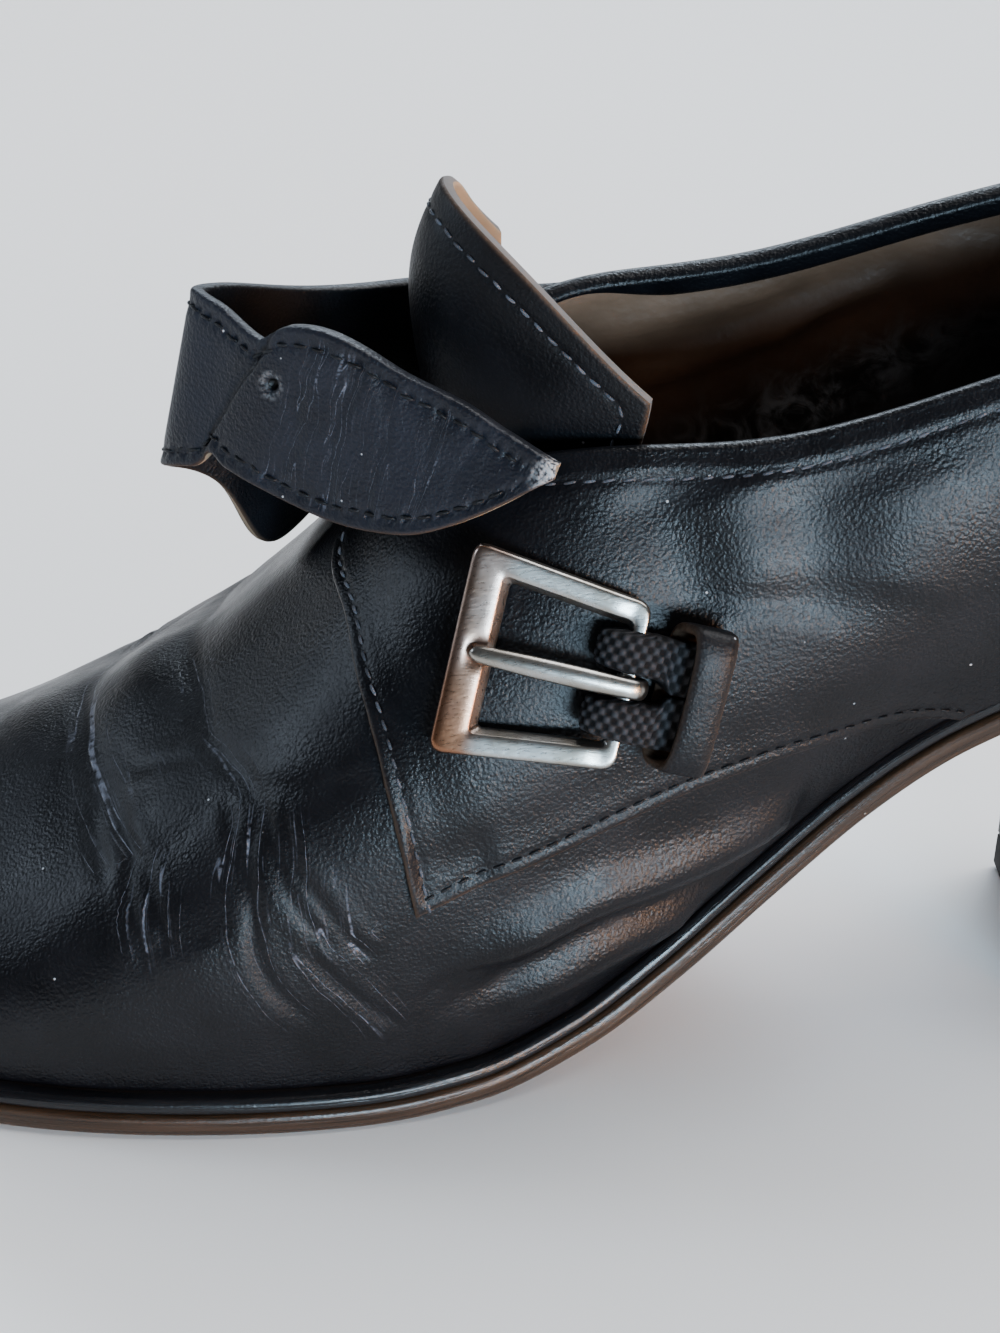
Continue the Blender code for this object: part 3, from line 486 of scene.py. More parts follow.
class MonkShoeStage(bpy.types.PropertyGroup):
    """Floor and light"""
    floor: colour_property("Floor", "Pale floor", (0.88, 0.87, 0.86))
    sky: number_property("Sky", "Strength of the light all round", 0.1)
    backdrop: number_property("Backdrop", "Strength of the pale room that the camera sees", 0.85)
    fill: number_property("Fill", "Strength of the wide light above", 4.0)
    rim: number_property("Rim", "Power of the soft box behind the shoe", 5.5, unit="POWER")
    window: number_property("Window", "Power of the soft box behind the camera", 2.8, unit="POWER")
    side: number_property("Side", "Power of the soft box at the toe", 0.5, unit="POWER")
    warm: number_property("Warm", "Power of the low warm light", 0.9, unit="POWER")


def cubic_between(rows, bend, low, high, part):
    """r a + p b + ((r^3 - r) A + (p^3 - p) B) / 6 between rows a and b with bends A and B, r = 1 - p."""
    part = part[..., None]
    rest = 1.0 - part
    line = rest * rows[low] + part * rows[high]
    return line + ((rest**3 - rest) * bend[low] + (part**3 - part) * bend[high]) / 6.0


def closed_spline(rows, at):
    """Smooth closed curve through equally spaced rows, read at positions counted in rows."""
    rows = np.asarray(rows, float)
    count = len(rows)
    eye = np.eye(count)
    system = 4.0 * eye + np.roll(eye, 1, axis=0) + np.roll(eye, -1, axis=0)
    bend = np.linalg.solve(system, 6.0 * (np.roll(rows, -1, 0) - 2.0 * rows + np.roll(rows, 1, 0)))
    at = np.asarray(at, float)
    low = np.floor(at).astype(int)
    return cubic_between(rows, bend, low % count, (low + 1) % count, at - low)


def open_spline(rows, at):
    """Smooth open curve through equally spaced rows, read at positions from 0 to 1."""
    rows = np.asarray(rows, float)
    count = len(rows)
    middle = np.arange(1, count - 1)
    system = np.eye(count)
    system[middle, middle - 1] = 1.0
    system[middle, middle] = 4.0
    system[middle, middle + 1] = 1.0
    load = np.zeros_like(rows)
    load[1:-1] = 6.0 * (rows[:-2] - 2.0 * rows[1:-1] + rows[2:])
    bend = np.linalg.solve(system, load)
    at = np.asarray(at, float) * (count - 1)
    low = np.clip(np.floor(at).astype(int), 0, count - 2)
    return cubic_between(rows, bend, low, low + 1, at - low)


def table_curve(table, at):
    """Smooth curve through (x, value) rows that never swings past them."""
    x, y = np.asarray(table, float).T
    step = np.diff(x)
    rate = np.diff(y) / step
    before = rate[:-1]
    after = rate[1:]
    same = before * after > 0.0
    heavy = 2.0 * step[1:] + step[:-1]
    light = step[1:] + 2.0 * step[:-1]
    spread = heavy / np.where(same, before, 1.0) + light / np.where(same, after, 1.0)
    slope = np.concatenate((rate[:1], np.where(same, (heavy + light) / spread, 0.0), rate[-1:]))
    at = np.asarray(at, float)
    i = np.clip(np.searchsorted(x, at) - 1, 0, len(x) - 2)
    f = (at - x[i]) / step[i]
    start = (2.0 * f**3 - 3.0 * f**2 + 1.0) * y[i] + (f**3 - 2.0 * f**2 + f) * step[i] * slope[i]
    end = (3.0 * f**2 - 2.0 * f**3) * y[i + 1] + (f**3 - f**2) * step[i] * slope[i + 1]
    return start + end


def unit(vectors):
    """Vectors of length 1 in the same directions."""
    return vectors / np.linalg.norm(vectors, axis=-1, keepdims=True)


def smooth(value):
    """Eased step, v^2 (3 - 2 v), for values from 0 to 1."""
    value = np.clip(value, 0.0, 1.0)
    return value * value * (3.0 - 2.0 * value)


def bell(far, width):
    """exp(-(far / width)^2)."""
    return np.exp(-(far / width)**2)


def ridge(gap, shape):
    """Bell with a height and a half width."""
    return shape[0] * bell(gap, shape[1])


def off_ridge(gap, shape):
    """Bell with a height, the gap at its middle and a half width."""
    return shape[0] * bell(gap - shape[1], shape[2])


def quarter_round(gap, radius):
    """Height of a rounded edge: 0 at the edge, 1 from a radius inside it, a quarter circle between."""
    return np.sqrt(1.0 - (1.0 - np.clip(gap / radius, 0.0, 1.0))**2)


def squarer(value, power):
    """sign(v) |v|^power, which makes a rounded square of a circle for powers below 1."""
    return np.sign(value) * np.abs(value)**power


def crowded(count, crowd):
    """Positions from 0 to 1 that lie closer together at both ends: t - crowd sin(2 pi t) / 2 pi."""
    even = np.linspace(0.0, 1.0, count)
    return even - crowd * np.sin(2.0 * np.pi * even) / (2.0 * np.pi)


def half_angles(sides):
    """Angles round a section, half a step off zero."""
    return (np.arange(sides) + 0.5) * 2.0 * np.pi / sides


def run_along(points):
    """Length along a line of points, from its start to each point."""
    return np.insert(np.cumsum(np.linalg.norm(np.diff(points, axis=0), axis=1)), 0, 0.0)


def read_line(values, run, at):
    """Columns of values along a line, read at given lengths."""
    return np.stack([np.interp(at, run, column) for column in values.T], axis=1)


def even_line(values, points, steps):
    """Values along a line of points, read again in even steps of length."""
    run = run_along(points)
    return read_line(values, run, np.linspace(0.0, run[-1], steps))


def sole_point(x, y, height):
    """Point in the sole, a height above its underside measured square to the profile."""
    slope = table_curve(SOLE_PROFILE, x + SLOPE_STEP) - table_curve(SOLE_PROFILE, x - SLOPE_STEP)
    slope = slope / (2.0 * SLOPE_STEP)
    climb = height / np.sqrt(1.0 + slope**2)
    return np.stack((x - climb * slope, y + 0.0 * x, table_curve(SOLE_PROFILE, x) + climb), axis=-1)


def feather(station):
    """Feather edge in plan, and the direction out of the shoe there."""
    station = np.asarray(station, float)
    plan = closed_spline(STATIONS[:, :2], station)
    ahead = closed_spline(STATIONS[:, :2], station + 2.0 * STATION_STEP)
    along = ahead - closed_spline(STATIONS[:, :2], station - 2.0 * STATION_STEP)
    return plan, unit(np.stack((-along[..., 1], along[..., 0]), axis=-1))


def sole_ring(station, outward, height):
    """Line round the sole, an amount outside the feather edge and a height in the sole."""
    plan, out = feather(station)
    plan = plan + out * np.asarray(outward)[..., None]
    return sole_point(plan[:, 0], plan[:, 1], height)


def wall(station, climb):
    """Outer face of the upper: at each station r^3 a + 3 r^2 s b + 3 r s^2 c + s^3 d, with r = 1 - s.

    a is on the feather edge, d on the collar, b and c are the points that the curve leans to.
    """
    station, climb = np.broadcast_arrays(np.asarray(station, float), np.asarray(climb, float))
    row = closed_spline(STATIONS, station)
    plan, out = feather(station)
    foot = sole_point(row[..., 0], row[..., 1], STACK)
    collar = row[..., 4:7]
    lean = unit(plan - collar[..., :2] + COLLAR_LEAN * out)
    first = foot + np.concatenate((out * row[..., 3:4], row[..., 2:3]), axis=-1)
    second = collar + np.concatenate((lean * row[..., 7:8], -row[..., 8:9]), axis=-1)
    s = climb[..., None]
    r = 1.0 - s
    return r**3 * foot + 3.0 * r**2 * s * first + 3.0 * r * s**2 * second + s**3 * collar


def wall_rates(station, climb):
    """Change of the wall's point per station and per climb."""
    station, climb = np.broadcast_arrays(np.asarray(station, float), np.asarray(climb, float))
    around = wall(station + STATION_STEP, climb) - wall(station - STATION_STEP, climb)
    upward = wall(station, climb + CLIMB_STEP) - wall(station, climb - CLIMB_STEP)
    return around / (2.0 * STATION_STEP), upward / (2.0 * CLIMB_STEP)


def wall_axes(station, climb):
    """Directions out of the wall and up along it."""
    around, upward = wall_rates(station, climb)
    return unit(np.cross(upward, around)), unit(upward)


def skin(station, climb, outward):
    """Point an amount outside the outer face of the upper."""
    return wall(station, climb) + wall_axes(station, climb)[0] * np.asarray(outward, float)[..., None]


def on_side(station, turned):
    """The station itself, or its mirror image on the medial side."""
    return STATION_COUNT - station if turned else station


def wall_line(rows, turned=False, steps=150):
    """Line of points on the wall through pairs of station and climb, or on the other side."""
    both = open_spline(rows, np.linspace(0.0, 1.0, steps))
    return wall(on_side(both[:, 0], turned), np.clip(both[:, 1], 0.0, 1.0))


def edge_line(rows, steps=400, fine_steps=1200):
    """Station and climb along an edge, in even steps of length."""
    fine = open_spline(rows, np.linspace(0.0, 1.0, fine_steps))
    fine[:, 1] = np.clip(fine[:, 1], 0.0, 1.0)
    return even_line(fine, wall(fine[:, 0], fine[:, 1]), steps)


def nearest(points, line):
    """Distance of each point from a line of points, and how far along the line, 0 to 1."""
    gap = (points**2).sum(-1)[:, None] + (line**2).sum(-1)[None, :] - 2.0 * points @ line.T
    best = gap.argmin(axis=1)
    far = np.sqrt(np.maximum(gap[np.arange(len(points)), best], 0.0))
    return far, best / (len(line) - 1.0)


def near_line(points, line, reach):
    """The points within a reach of a line's box, with distance and a fade to its two ends."""
    inside = np.all((points > line.min(0) - reach) & (points < line.max(0) + reach), axis=1)
    far, along = nearest(points[inside], line)
    return inside, far, smooth(np.minimum(along, 1.0 - along) / END_FADE)


def fold_lift(points, folds, turned=False):
    """Outward move of points on the wall: each fold adds height x bell(far, width) across its line."""
    lift = np.zeros(len(points))
    for height, width, rows in folds:
        inside, far, fade = near_line(points, wall_line(rows, turned), 3.0 * width)
        lift[inside] += height * fade * bell(far, width)
    return lift


def crease_lift(points, creases, turned=False):
    """Outward move, a narrow bell down along each crease with a bank each side, and wear round it."""
    lift = np.zeros(len(points))
    wear = np.zeros(len(points))
    for depth, width, bank, worn, rows in creases:
        inside, far, fade = near_line(points, wall_line(rows, turned), 8.0 * width)
        banks = bank * bell(far - 2.3 * width, 1.4 * width)
        lift[inside] += fade * (banks - depth * bell(far, width))
        wear[inside] = np.maximum(wear[inside], worn * fade * bell(far, 3.4))
    return lift, wear


def wall_relief(points):
    """Broad folds of the wall, which the panels over it share."""
    lift = fold_lift(points, SOFT_FOLDS) + MEDIAL_SHARE * fold_lift(points, SOFT_FOLDS, turned=True)
    return lift * bpy.context.scene.monk_sizes.crease_depth


def flow_place(points, out, line, some=20000):
    """Place of each point by a line on the wall: mm across it toward the toe, and mm along it. It is
    done for some points at a time, to save memory."""
    ahead = unit(np.gradient(line, axis=0))
    run = run_along(line)
    place = np.zeros(points.shape)
    for first in range(0, len(points), some):
        few = slice(first, first + some)
        _, along = nearest(points[few], line)
        at = np.rint(along * (len(line) - 1)).astype(int)
        offset = points[few] - line[at]
        place[few, 0] = (np.cross(out[few], ahead[at]) * offset).sum(axis=1)
        place[few, 1] = run[at] + (ahead[at] * offset).sum(axis=1)
    return place


def grid_quads(rows, columns, wrap_rows=False, wrap_columns=False):
    """Corner numbers of the quads of a grid of points numbered row by row."""
    i = np.arange(rows if wrap_rows else rows - 1)[:, None]
    j = np.arange(columns if wrap_columns else columns - 1)[None, :]
    low = i * columns
    high = ((i + 1) % rows) * columns
    side = (j + 1) % columns
    return np.stack((low + j, high + j, high + side, low + side), axis=-1).reshape(-1, 4)


def cap_quads(count, first):
    """Quads across a ring of points, point i to point count - 1 - i."""
    i = np.arange(count // 2 - 1)
    return first + np.stack((i, i + 1, count - 2 - i, count - 1 - i), axis=-1)


def tube_quads(rows, count, wrap=False):
    """Quads of closed loops in a row, with flat ends unless the row closes on itself."""
    quads = grid_quads(rows, count, wrap_rows=wrap, wrap_columns=True)
    if wrap:
        return quads
    return np.concatenate((quads, cap_quads(count, 0), cap_quads(count, (rows - 1) * count)))


def sheet_quads(rows, columns):
    """Quads of a closed sheet: front grid, back grid and the strip round them."""
    half = rows * columns
    number = np.arange(half).reshape(rows, columns)
    ring = np.concatenate((number[0, :-1], number[:-1, -1], number[-1, :0:-1], number[:0:-1, 0]))
    after = np.roll(ring, -1)
    face = grid_quads(rows, columns)
    rim = np.stack((ring, after, after + half, ring + half), axis=-1)
    return np.concatenate((face, face[:, ::-1] + half, rim))


def put_piece(name, points, quads, materials, nodes, slot, body="shoe", finish=None, marks=None,
              sharp=None):
    """Closed mesh from points in mm, with materials, marks on its points, its body and its solids."""
    points = np.asarray(points).reshape(-1, 3)
    mesh = bpy.data.meshes.new(name)
    mesh.vertices.add(len(points))
    mesh.vertices.foreach_set("co", (points * MM).astype(np.float32).ravel())
    mesh.loops.add(quads.size)
    mesh.loops.foreach_set("vertex_index", quads.astype(np.int32).ravel())
    mesh.polygons.add(len(quads))
    mesh.polygons.foreach_set("loop_start", np.arange(0, quads.size, 4, dtype=np.int32))
    for look in materials:
        mesh.materials.append(look)
    if finish is not None:
        mesh.polygons.foreach_set("material_index", np.asarray(finish, np.int32))
    mesh.update(calc_edges=True)
    work = bmesh.new()
    work.from_mesh(mesh)
    bmesh.ops.recalc_face_normals(work, faces=work.faces[:])
    work.to_mesh(mesh)
    work.free()
    mesh.polygons.foreach_set("use_smooth", np.ones(len(mesh.polygons), bool))
    if sharp is not None:
        mesh.set_sharp_from_angle(angle=math.radians(sharp))
    for label, values in (marks or {}).items():
        plain = values.size == len(points)
        layer = mesh.attributes.new(label, "FLOAT" if plain else "FLOAT_VECTOR", "POINT")
        layer.data.foreach_set("value" if plain else "vector", values.astype(np.float32).ravel())
    piece = bpy.data.objects.new(name, mesh)
    bpy.context.scene.collection.objects.link(piece)
    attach(piece, body)
    if nodes:
        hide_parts(*nodes)


def put_tube(name, loops, materials, node, slot, wrap=False, **more):
    """Piece from closed loops in a row."""
    put_piece(name, loops, tube_quads(*loops.shape[:2], wrap), materials, (node,), slot, **more)


def put_sheet(name, face, back, materials, node, slot, marks, far_edge=2):
    """Closed sheet from two grids. Its materials are for face, back and edge, and the strip along the
    last column may take another one of them. A mark is one grid for both sides, or a stack of two."""
    rows, columns = face.shape[:2]
    faces = (rows - 1) * (columns - 1)
    finish = np.repeat((0, 1, 2, far_edge, 2),
                       (faces, faces, columns - 1, rows - 1, rows + columns - 2))
    both = {}
    for label, values in marks.items():
        shape = (2, rows, columns, 3) if values.shape[-1] == 3 else (2, rows, columns)
        both[label] = np.broadcast_to(values, shape)
    put_piece(name, np.stack((face, back)), sheet_quads(rows, columns), materials, (node,), slot,
              finish=finish, marks=both)


def border_gaps(grid):
    """Distance of each grid point from the first and last row and column, along the grid lines."""
    gaps = []
    for axis in (0, 1):
        step = np.linalg.norm(np.diff(grid, axis=axis), axis=-1)
        start = np.insert(np.cumsum(step, axis=axis), 0, 0.0, axis=axis)
        gaps += (start, np.take(start, [-1], axis=axis) - start)
    return gaps


def grid_square(grid):
    """Direction square to a grid of points."""
    return unit(np.cross(np.gradient(grid, axis=0), np.gradient(grid, axis=1)))


def set_inputs(tree, node, inputs):
    """Gives each input of a node its value, or a link from the socket that stands for it."""
    for label, value in inputs.items():
        if isinstance(value, bpy.types.NodeSocket):
            tree.links.new(value, node.inputs[label])
        else:
            node.inputs[label].default_value = value


def add_node(tree, kind, inputs=None, **settings):
    """New node with its settings and inputs."""
    made = tree.nodes.new(kind)
    for label, value in settings.items():
        setattr(made, label, value)
    set_inputs(tree, made, inputs or {})
    return made


def calc(tree, operation, *values, clamp=False):
    """Math node on one to three values."""
    made = add_node(tree, "ShaderNodeMath", dict(enumerate(values)), operation=operation, use_clamp=clamp)
    return made.outputs[0]


def mix_colour(tree, amount, first, second):
    """Mix of two colours."""
    return add_node(tree, "ShaderNodeMix", {0: amount, 6: first, 7: second}, data_type="RGBA").outputs[2]


def ramp_between(tree, value, low, high):
    """Eased step from 0 at low to 1 at high."""
    made = add_node(tree, "ShaderNodeMapRange", {0: value, 1: low, 2: high, 3: 0.0, 4: 1.0},
                    interpolation_type="SMOOTHSTEP")
    return made.outputs[0]


def noise(tree, place, scale, detail, **more):
    """Noise value at a place."""
    inputs = {"Vector": place, "Scale": scale, "Detail": detail, **more}
    return add_node(tree, "ShaderNodeTexNoise", inputs).outputs[0]


def pulled_noise(tree, place, stretch, detail, **more):
    """Noise of a place that is scaled by its own amount along each axis."""
    pulled = add_node(tree, "ShaderNodeMapping", {"Vector": place, "Scale": stretch}).outputs[0]
    return noise(tree, pulled, 1.0, detail, **more)


def mark(tree, name, output="Fac"):
    """Value of a mark on the piece's points, 0 where the piece has no such mark."""
    return add_node(tree, "ShaderNodeAttribute", attribute_name=name).outputs[output]


def grain_nodes(tree, given):
    """Leather grain: pebbles from cells, fine pores from noise, and a slow change of tone."""
    place = given["Place"]
    scale = given["Scale"]
    cells = add_node(tree, "ShaderNodeTexVoronoi", {"Vector": place, "Scale": scale}, feature="SMOOTH_F1")
    fine = noise(tree, place, calc(tree, "MULTIPLY", scale, 1.7), 3.0)
    slow = noise(tree, place, calc(tree, "MULTIPLY", scale, 0.05), 4.0)
    pebble = calc(tree, "MULTIPLY", cells.outputs["Distance"], -0.9)
    return {"Height": calc(tree, "MULTIPLY_ADD", fine, 0.7, pebble), "Tone": slow}


def line_nodes(tree, given):
    """Fine lines along the second place value: streaks, and contour lines of a slow drawn-out noise."""
    place = given["Place"]
    sway = calc(tree, "SUBTRACT", noise(tree, place, 0.07, 2.0), 0.5)
    shift = add_node(tree, "ShaderNodeCombineXYZ", {0: calc(tree, "MULTIPLY", sway, 3.0)}).outputs[0]
    bent = add_node(tree, "ShaderNodeVectorMath", {0: place, 1: shift}).outputs[0]
    streaks = pulled_noise(tree, bent, (2.4, 0.06, 1.0), 3.0, Roughness=0.6)
    thin = calc(tree, "MULTIPLY", ramp_between(tree, streaks, 0.54, 0.76), 0.45)
    hills = pulled_noise(tree, bent, (0.36, 0.014, 1.0), 1.0)
    level = calc(tree, "ABSOLUTE", calc(tree, "SUBTRACT", hills, 0.5))
    contour = ramp_between(tree, level, 0.012, 0.002)
    broken = ramp_between(tree, noise(tree, place, 0.9, 4.0), 0.34, 0.62)
    lines = calc(tree, "MULTIPLY", calc(tree, "MAXIMUM", thin, contour), broken)
    shown = ramp_between(tree, given["Wear"], 0.05, 0.9)
    return {"Amount": calc(tree, "MULTIPLY", lines, shown, clamp=True)}


def dust_nodes(tree, given):
    """Dust: small round specks in a few of the cells of a coarse cell pattern."""
    cells = add_node(tree, "ShaderNodeTexVoronoi", {"Vector": given["Place"], "Scale": 420.0})
    speck = ramp_between(tree, cells.outputs["Distance"], 0.09, 0.04)
    split = add_node(tree, "ShaderNodeSeparateColor", {0: cells.outputs["Color"]})
    chosen = calc(tree, "LESS_THAN", split.outputs[0], given["Amount"])
    return {"Mask": calc(tree, "MULTIPLY", speck, chosen)}


# Shared node groups. Columns: what fills the group, its inputs, its outputs. Place is a vector.
SHADER_GROUPS = {
    "leather_grain": (grain_nodes, ("Place", "Scale"), ("Height", "Tone")),
    "scuff_lines": (line_nodes, ("Place", "Wear"), ("Amount",)),
    "dust_specks": (dust_nodes, ("Place", "Amount"), ("Mask",)),
}


def use_group(tree, name, inputs):
    """Outputs of a shared group, which is made where it is first used."""
    group = bpy.data.node_groups.get(name)
    if group is None:
        group = bpy.data.node_groups.new(name, "ShaderNodeTree")
        fill, given, results = SHADER_GROUPS[name]
        for way, labels in (("INPUT", given), ("OUTPUT", results)):
            for label in labels:
                kind = "NodeSocketVector" if label == "Place" else "NodeSocketFloat"
                group.interface.new_socket(name=label, in_out=way, socket_type=kind)
        start = group.nodes.new("NodeGroupInput")
        end = group.nodes.new("NodeGroupOutput")
        set_inputs(group, end, fill(group, start.outputs))
    return add_node(tree, "ShaderNodeGroup", inputs, node_tree=group).outputs


def shade(colour, amount=1.0):
    """A colour times an amount, with full alpha."""
    return (amount * colour[0], amount * colour[1], amount * colour[2], 1.0)


def two_tones(tree, tone, colour, low, high):
    """A colour times low where tone is 0, and times high where it is 1."""
    return mix_colour(tree, tone, shade(colour, low), shade(colour, high))


def bump(tree, height, depth):
    """Normal for a height."""
    inputs = {"Height": height, "Strength": 1.0, "Distance": depth}
    return add_node(tree, "ShaderNodeBump", inputs).outputs[0]


def material(name, paint, **values):
    """Material of that name. Where it is new, paint gives the inputs of its shader."""
    made = bpy.data.materials.get(name)
    if made is None:
        made = bpy.data.materials.new(name)
        made.use_nodes = True
        tree = made.node_tree
        place = tree.nodes.new("ShaderNodeTexCoord").outputs["Object"]
        set_inputs(tree, tree.nodes["Principled BSDF"], paint(tree, place, **values))
    return made


def leather(tree, place, colour, grain_depth=0.0001, rough=None, dust=0.05, coat=0.04, mirror=0.19,
            hole=None):
    """Smooth leather: grain, slow tone, worn lines, pale fibres, a brown cut edge, specks of dust, and
    painted shade, black, in a round hole where its middle is given."""
    finish = bpy.context.scene.monk_finish
    rough = finish.leather_roughness if rough is None else rough
    scale = 1.0 / bpy.context.scene.monk_sizes.grain_size
    grain = use_group(tree, "leather_grain", {"Place": place, "Scale": scale})
    wear = mark(tree, "wear")
    rim = mark(tree, "rim")
    lines = use_group(tree, "scuff_lines", {"Place": mark(tree, "drawn", "Vector"), "Wear": wear})[0]
    specks = use_group(tree, "dust_specks", {"Place": place, "Amount": dust})[0]
    fibres = ramp_between(tree, grain["Height"], -0.25, 0.15)
    tone = ramp_between(tree, grain["Tone"], 0.3, 0.7)
    base = two_tones(tree, tone, colour, 0.8, 1.35)
    base = mix_colour(tree, calc(tree, "MULTIPLY", lines, 0.8), base, shade(finish.worn))
    base = mix_colour(tree, calc(tree, "MULTIPLY", mark(tree, "pale"), fibres), base, shade(PALE_FIBRES))
    base = mix_colour(tree, rim, base, shade(finish.raw_edge))
    base = mix_colour(tree, calc(tree, "MULTIPLY", specks, 0.75), base, shade(DUST))
    # Painted shade: the hole is a shallow dip, made black inside as if it went through.
    if hole is not None:
        far = add_node(tree, "ShaderNodeVectorMath", {0: place, 1: hole}, operation="DISTANCE")
        inside = ramp_between(tree, far.outputs["Value"], 0.0013, 0.0010)
        base = mix_colour(tree, inside, base, shade(PAINTED_HOLE_SHADE))
    gloss = calc(tree, "MULTIPLY_ADD", tone, 0.14, rough - 0.07)
    gloss = calc(tree, "MULTIPLY_ADD", wear, 0.12, gloss)
    gloss = calc(tree, "MULTIPLY_ADD", rim, 0.3, gloss, clamp=True)
    height = calc(tree, "MULTIPLY_ADD", lines, -0.8, grain["Height"])
    return {"Base Color": base, "Roughness": gloss, "Specular IOR Level": mirror, "Coat Weight": coat,
            "Coat Roughness": 0.3, "Normal": bump(tree, height, grain_depth)}


def soft(tree, place, colour, rough, pattern=900.0):
    """Matt soft finish for lining, insole, raw back and rubber: two tones, a fine nap, painted shade deep
    down and rubbed grey in clouds."""
    grain = use_group(tree, "leather_grain", {"Place": place, "Scale": pattern})
    tone = ramp_between(tree, grain["Tone"], 0.3, 0.7)
    base = two_tones(tree, tone, colour, 0.65, 1.35)
    # Painted shade: where the deep mark is set, the lining is made near black deep in the shoe.
    base = mix_colour(tree, mark(tree, "deep"), base, shade(DEEP_SHADE))
    cloud = ramp_between(tree, noise(tree, place, 190.0, 6.0, Roughness=0.65, Distortion=1.2), 0.42, 0.7)
    base = mix_colour(tree, calc(tree, "MULTIPLY", mark(tree, "wear"), cloud), base, shade(RUBBED_LINING))
    gloss = calc(tree, "MULTIPLY_ADD", tone, 0.15, rough - 0.075)
    return {"Base Color": base, "Roughness": gloss, "Normal": bump(tree, grain["Height"], 0.00008)}


def sole_edge(tree, place, colour, rough, streak=0.4):
    """Polished edge of a sole: streaks drawn out along the edge, dust and a wax coat."""
    streaks = pulled_noise(tree, mark(tree, "drawn", "Vector"), (0.06, 2.4, 1.0), 5.0)
    grain = use_group(tree, "leather_grain", {"Place": place, "Scale": 1800.0})
    specks = use_group(tree, "dust_specks", {"Place": place, "Amount": 0.06})[0]
    tone = ramp_between(tree, streaks, 0.32, 0.68)
    base = two_tones(tree, tone, colour, 1.0 - streak, 1.0 + streak)
    base = mix_colour(tree, calc(tree, "MULTIPLY", specks, 0.5), base, shade(SOLE_DUST))
    gloss = calc(tree, "MULTIPLY_ADD", tone, 0.16, rough - 0.08)
    height = calc(tree, "MULTIPLY_ADD", grain["Height"], 0.4, streaks)
    return {"Base Color": base, "Roughness": gloss, "Specular IOR Level": 0.3, "Coat Weight": 0.12,
            "Coat Roughness": 0.22, "Normal": bump(tree, height, 0.00012)}


def nickel(tree, place, colour):
    """Satin nickel: slow tarnish, brushed streaks, small dents, and a painted brown reflection where it is
    marked.
    """
    slow = noise(tree, place, 260.0, 5.0)
    brushed = pulled_noise(tree, place, (900.0, 9000.0, 2500.0), 3.0)
    tone = ramp_between(tree, slow, 0.35, 0.7)
    dull = (0.8 * colour[0], 0.75 * colour[1], 0.68 * colour[2])
    base = mix_colour(tree, tone, shade(colour), shade(dull))
    # The rim mark paints a brown reflection on the metal.
    base = mix_colour(tree, mark(tree, "rim"), base, shade(PAINTED_BROWN_REFLECTION))
    height = calc(tree, "MULTIPLY_ADD", brushed, 0.3, slow)
    gloss = calc(tree, "MULTIPLY_ADD", brushed, 0.2, 0.2)
    return {"Base Color": base, "Metallic": 1.0, "Roughness": gloss,
            "Normal": bump(tree, height, 0.00004)}


def thread(tree, place, colour):
    """Waxed thread: fine twist and a slow change of tone."""
    tone = ramp_between(tree, noise(tree, place, 240.0, 3.0), 0.3, 0.7)
    return {"Base Color": two_tones(tree, tone, colour, 0.35, 1.0), "Specular IOR Level": 0.2,
            "Roughness": calc(tree, "MULTIPLY_ADD", tone, 0.15, 0.42),
            "Normal": bump(tree, noise(tree, place, 5200.0, 2.0), 0.00008)}


def woven(tree, place, colour):
    """Woven elastic: dark threads with painted shade in the gaps and toward the pillows' drawn-in ends, so
    the tops are paler; the tops are also shinier.
    """
    pip = mark(tree, "wear")
    # The wear mark here paints shade: dark in the gaps and toward the ends, paler on the thread tops.
    return {"Base Color": two_tones(tree, pip, colour, 0.3, 3.6), "Specular IOR Level": 0.15,
            "Roughness": calc(tree, "MULTIPLY_ADD", pip, -0.3, 0.8),
            "Normal": bump(tree, noise(tree, place, 6500.0, 3.0), 0.00009)}


def plain_floor(tree, place, colour):
    """Pale floor with a very faint mottle."""
    mottle = noise(tree, place, 3.0, 2.0)
    return {"Base Color": two_tones(tree, mottle, colour, 0.985, 1.0), "Roughness": 0.7}


def black_leather():
    """Leather of the upper."""
    return material("black_leather", leather, colour=bpy.context.scene.monk_finish.leather)


def matt_leather():
    """Duller leather of the tongue, the strap's back and the keeper."""
    finish = bpy.context.scene.monk_finish
    return material("matt_leather", leather, colour=finish.leather, rough=0.48, mirror=0.18)


def buckle_point(forward, up, out):
    """Point on the buckle, counted from the middle of its rear bar along its own three axes."""
    ahead = unit(BUCKLE_FORWARD)
    away = unit(np.cross(BUCKLE_UP, ahead))
    forward, up, out = np.broadcast_arrays(forward, up, out)
    point = BUCKLE_BAR + forward[..., None] * ahead
    return point + up[..., None] * np.cross(ahead, away) + out[..., None] * away


def turn_away(forward, up):
    """How far the quarter behind the bar lies out of the buckle's plane."""
    return TURN_UP * up + TURN_BACK * (forward - TURN_MIDDLE)


def rounded_loop(half_corners, rounding, edge_steps, arc_steps):
    """Closed loop through two corners and their mirror images. Each corner c is a curve
    (1 - t)^2 a + 2 t (1 - t) c + t^2 b between points a and b on its two sides."""
    rear, front = (np.array(corner) for corner in half_corners)
    flip = np.array((1.0, -1.0))
    corners = (rear * flip, rear, front, front * flip)
    turn = np.linspace(0.0, 1.0, arc_steps + 1)[:, None]
    along = np.linspace(0.0, 1.0, edge_steps + 1)[1:-1, None]
    points = []
    for i, corner in enumerate(corners):
        after = unit(corners[(i + 1) % 4] - corner)
        start = corner - unit(corner - corners[i - 1]) * rounding
        end = corner + after * rounding
        goal = corners[(i + 1) % 4] - after * rounding
        points.append((1.0 - turn)**2 * start + 2.0 * turn * (1.0 - turn) * corner + turn**2 * end)
        points.append(end + (goal - end) * along)
    return np.concatenate(points)


def collar_length(station):
    """Length of wall per climb just below the collar."""
    return np.linalg.norm(wall(station, 1.0) - wall(station, 0.9), axis=-1) / 0.1


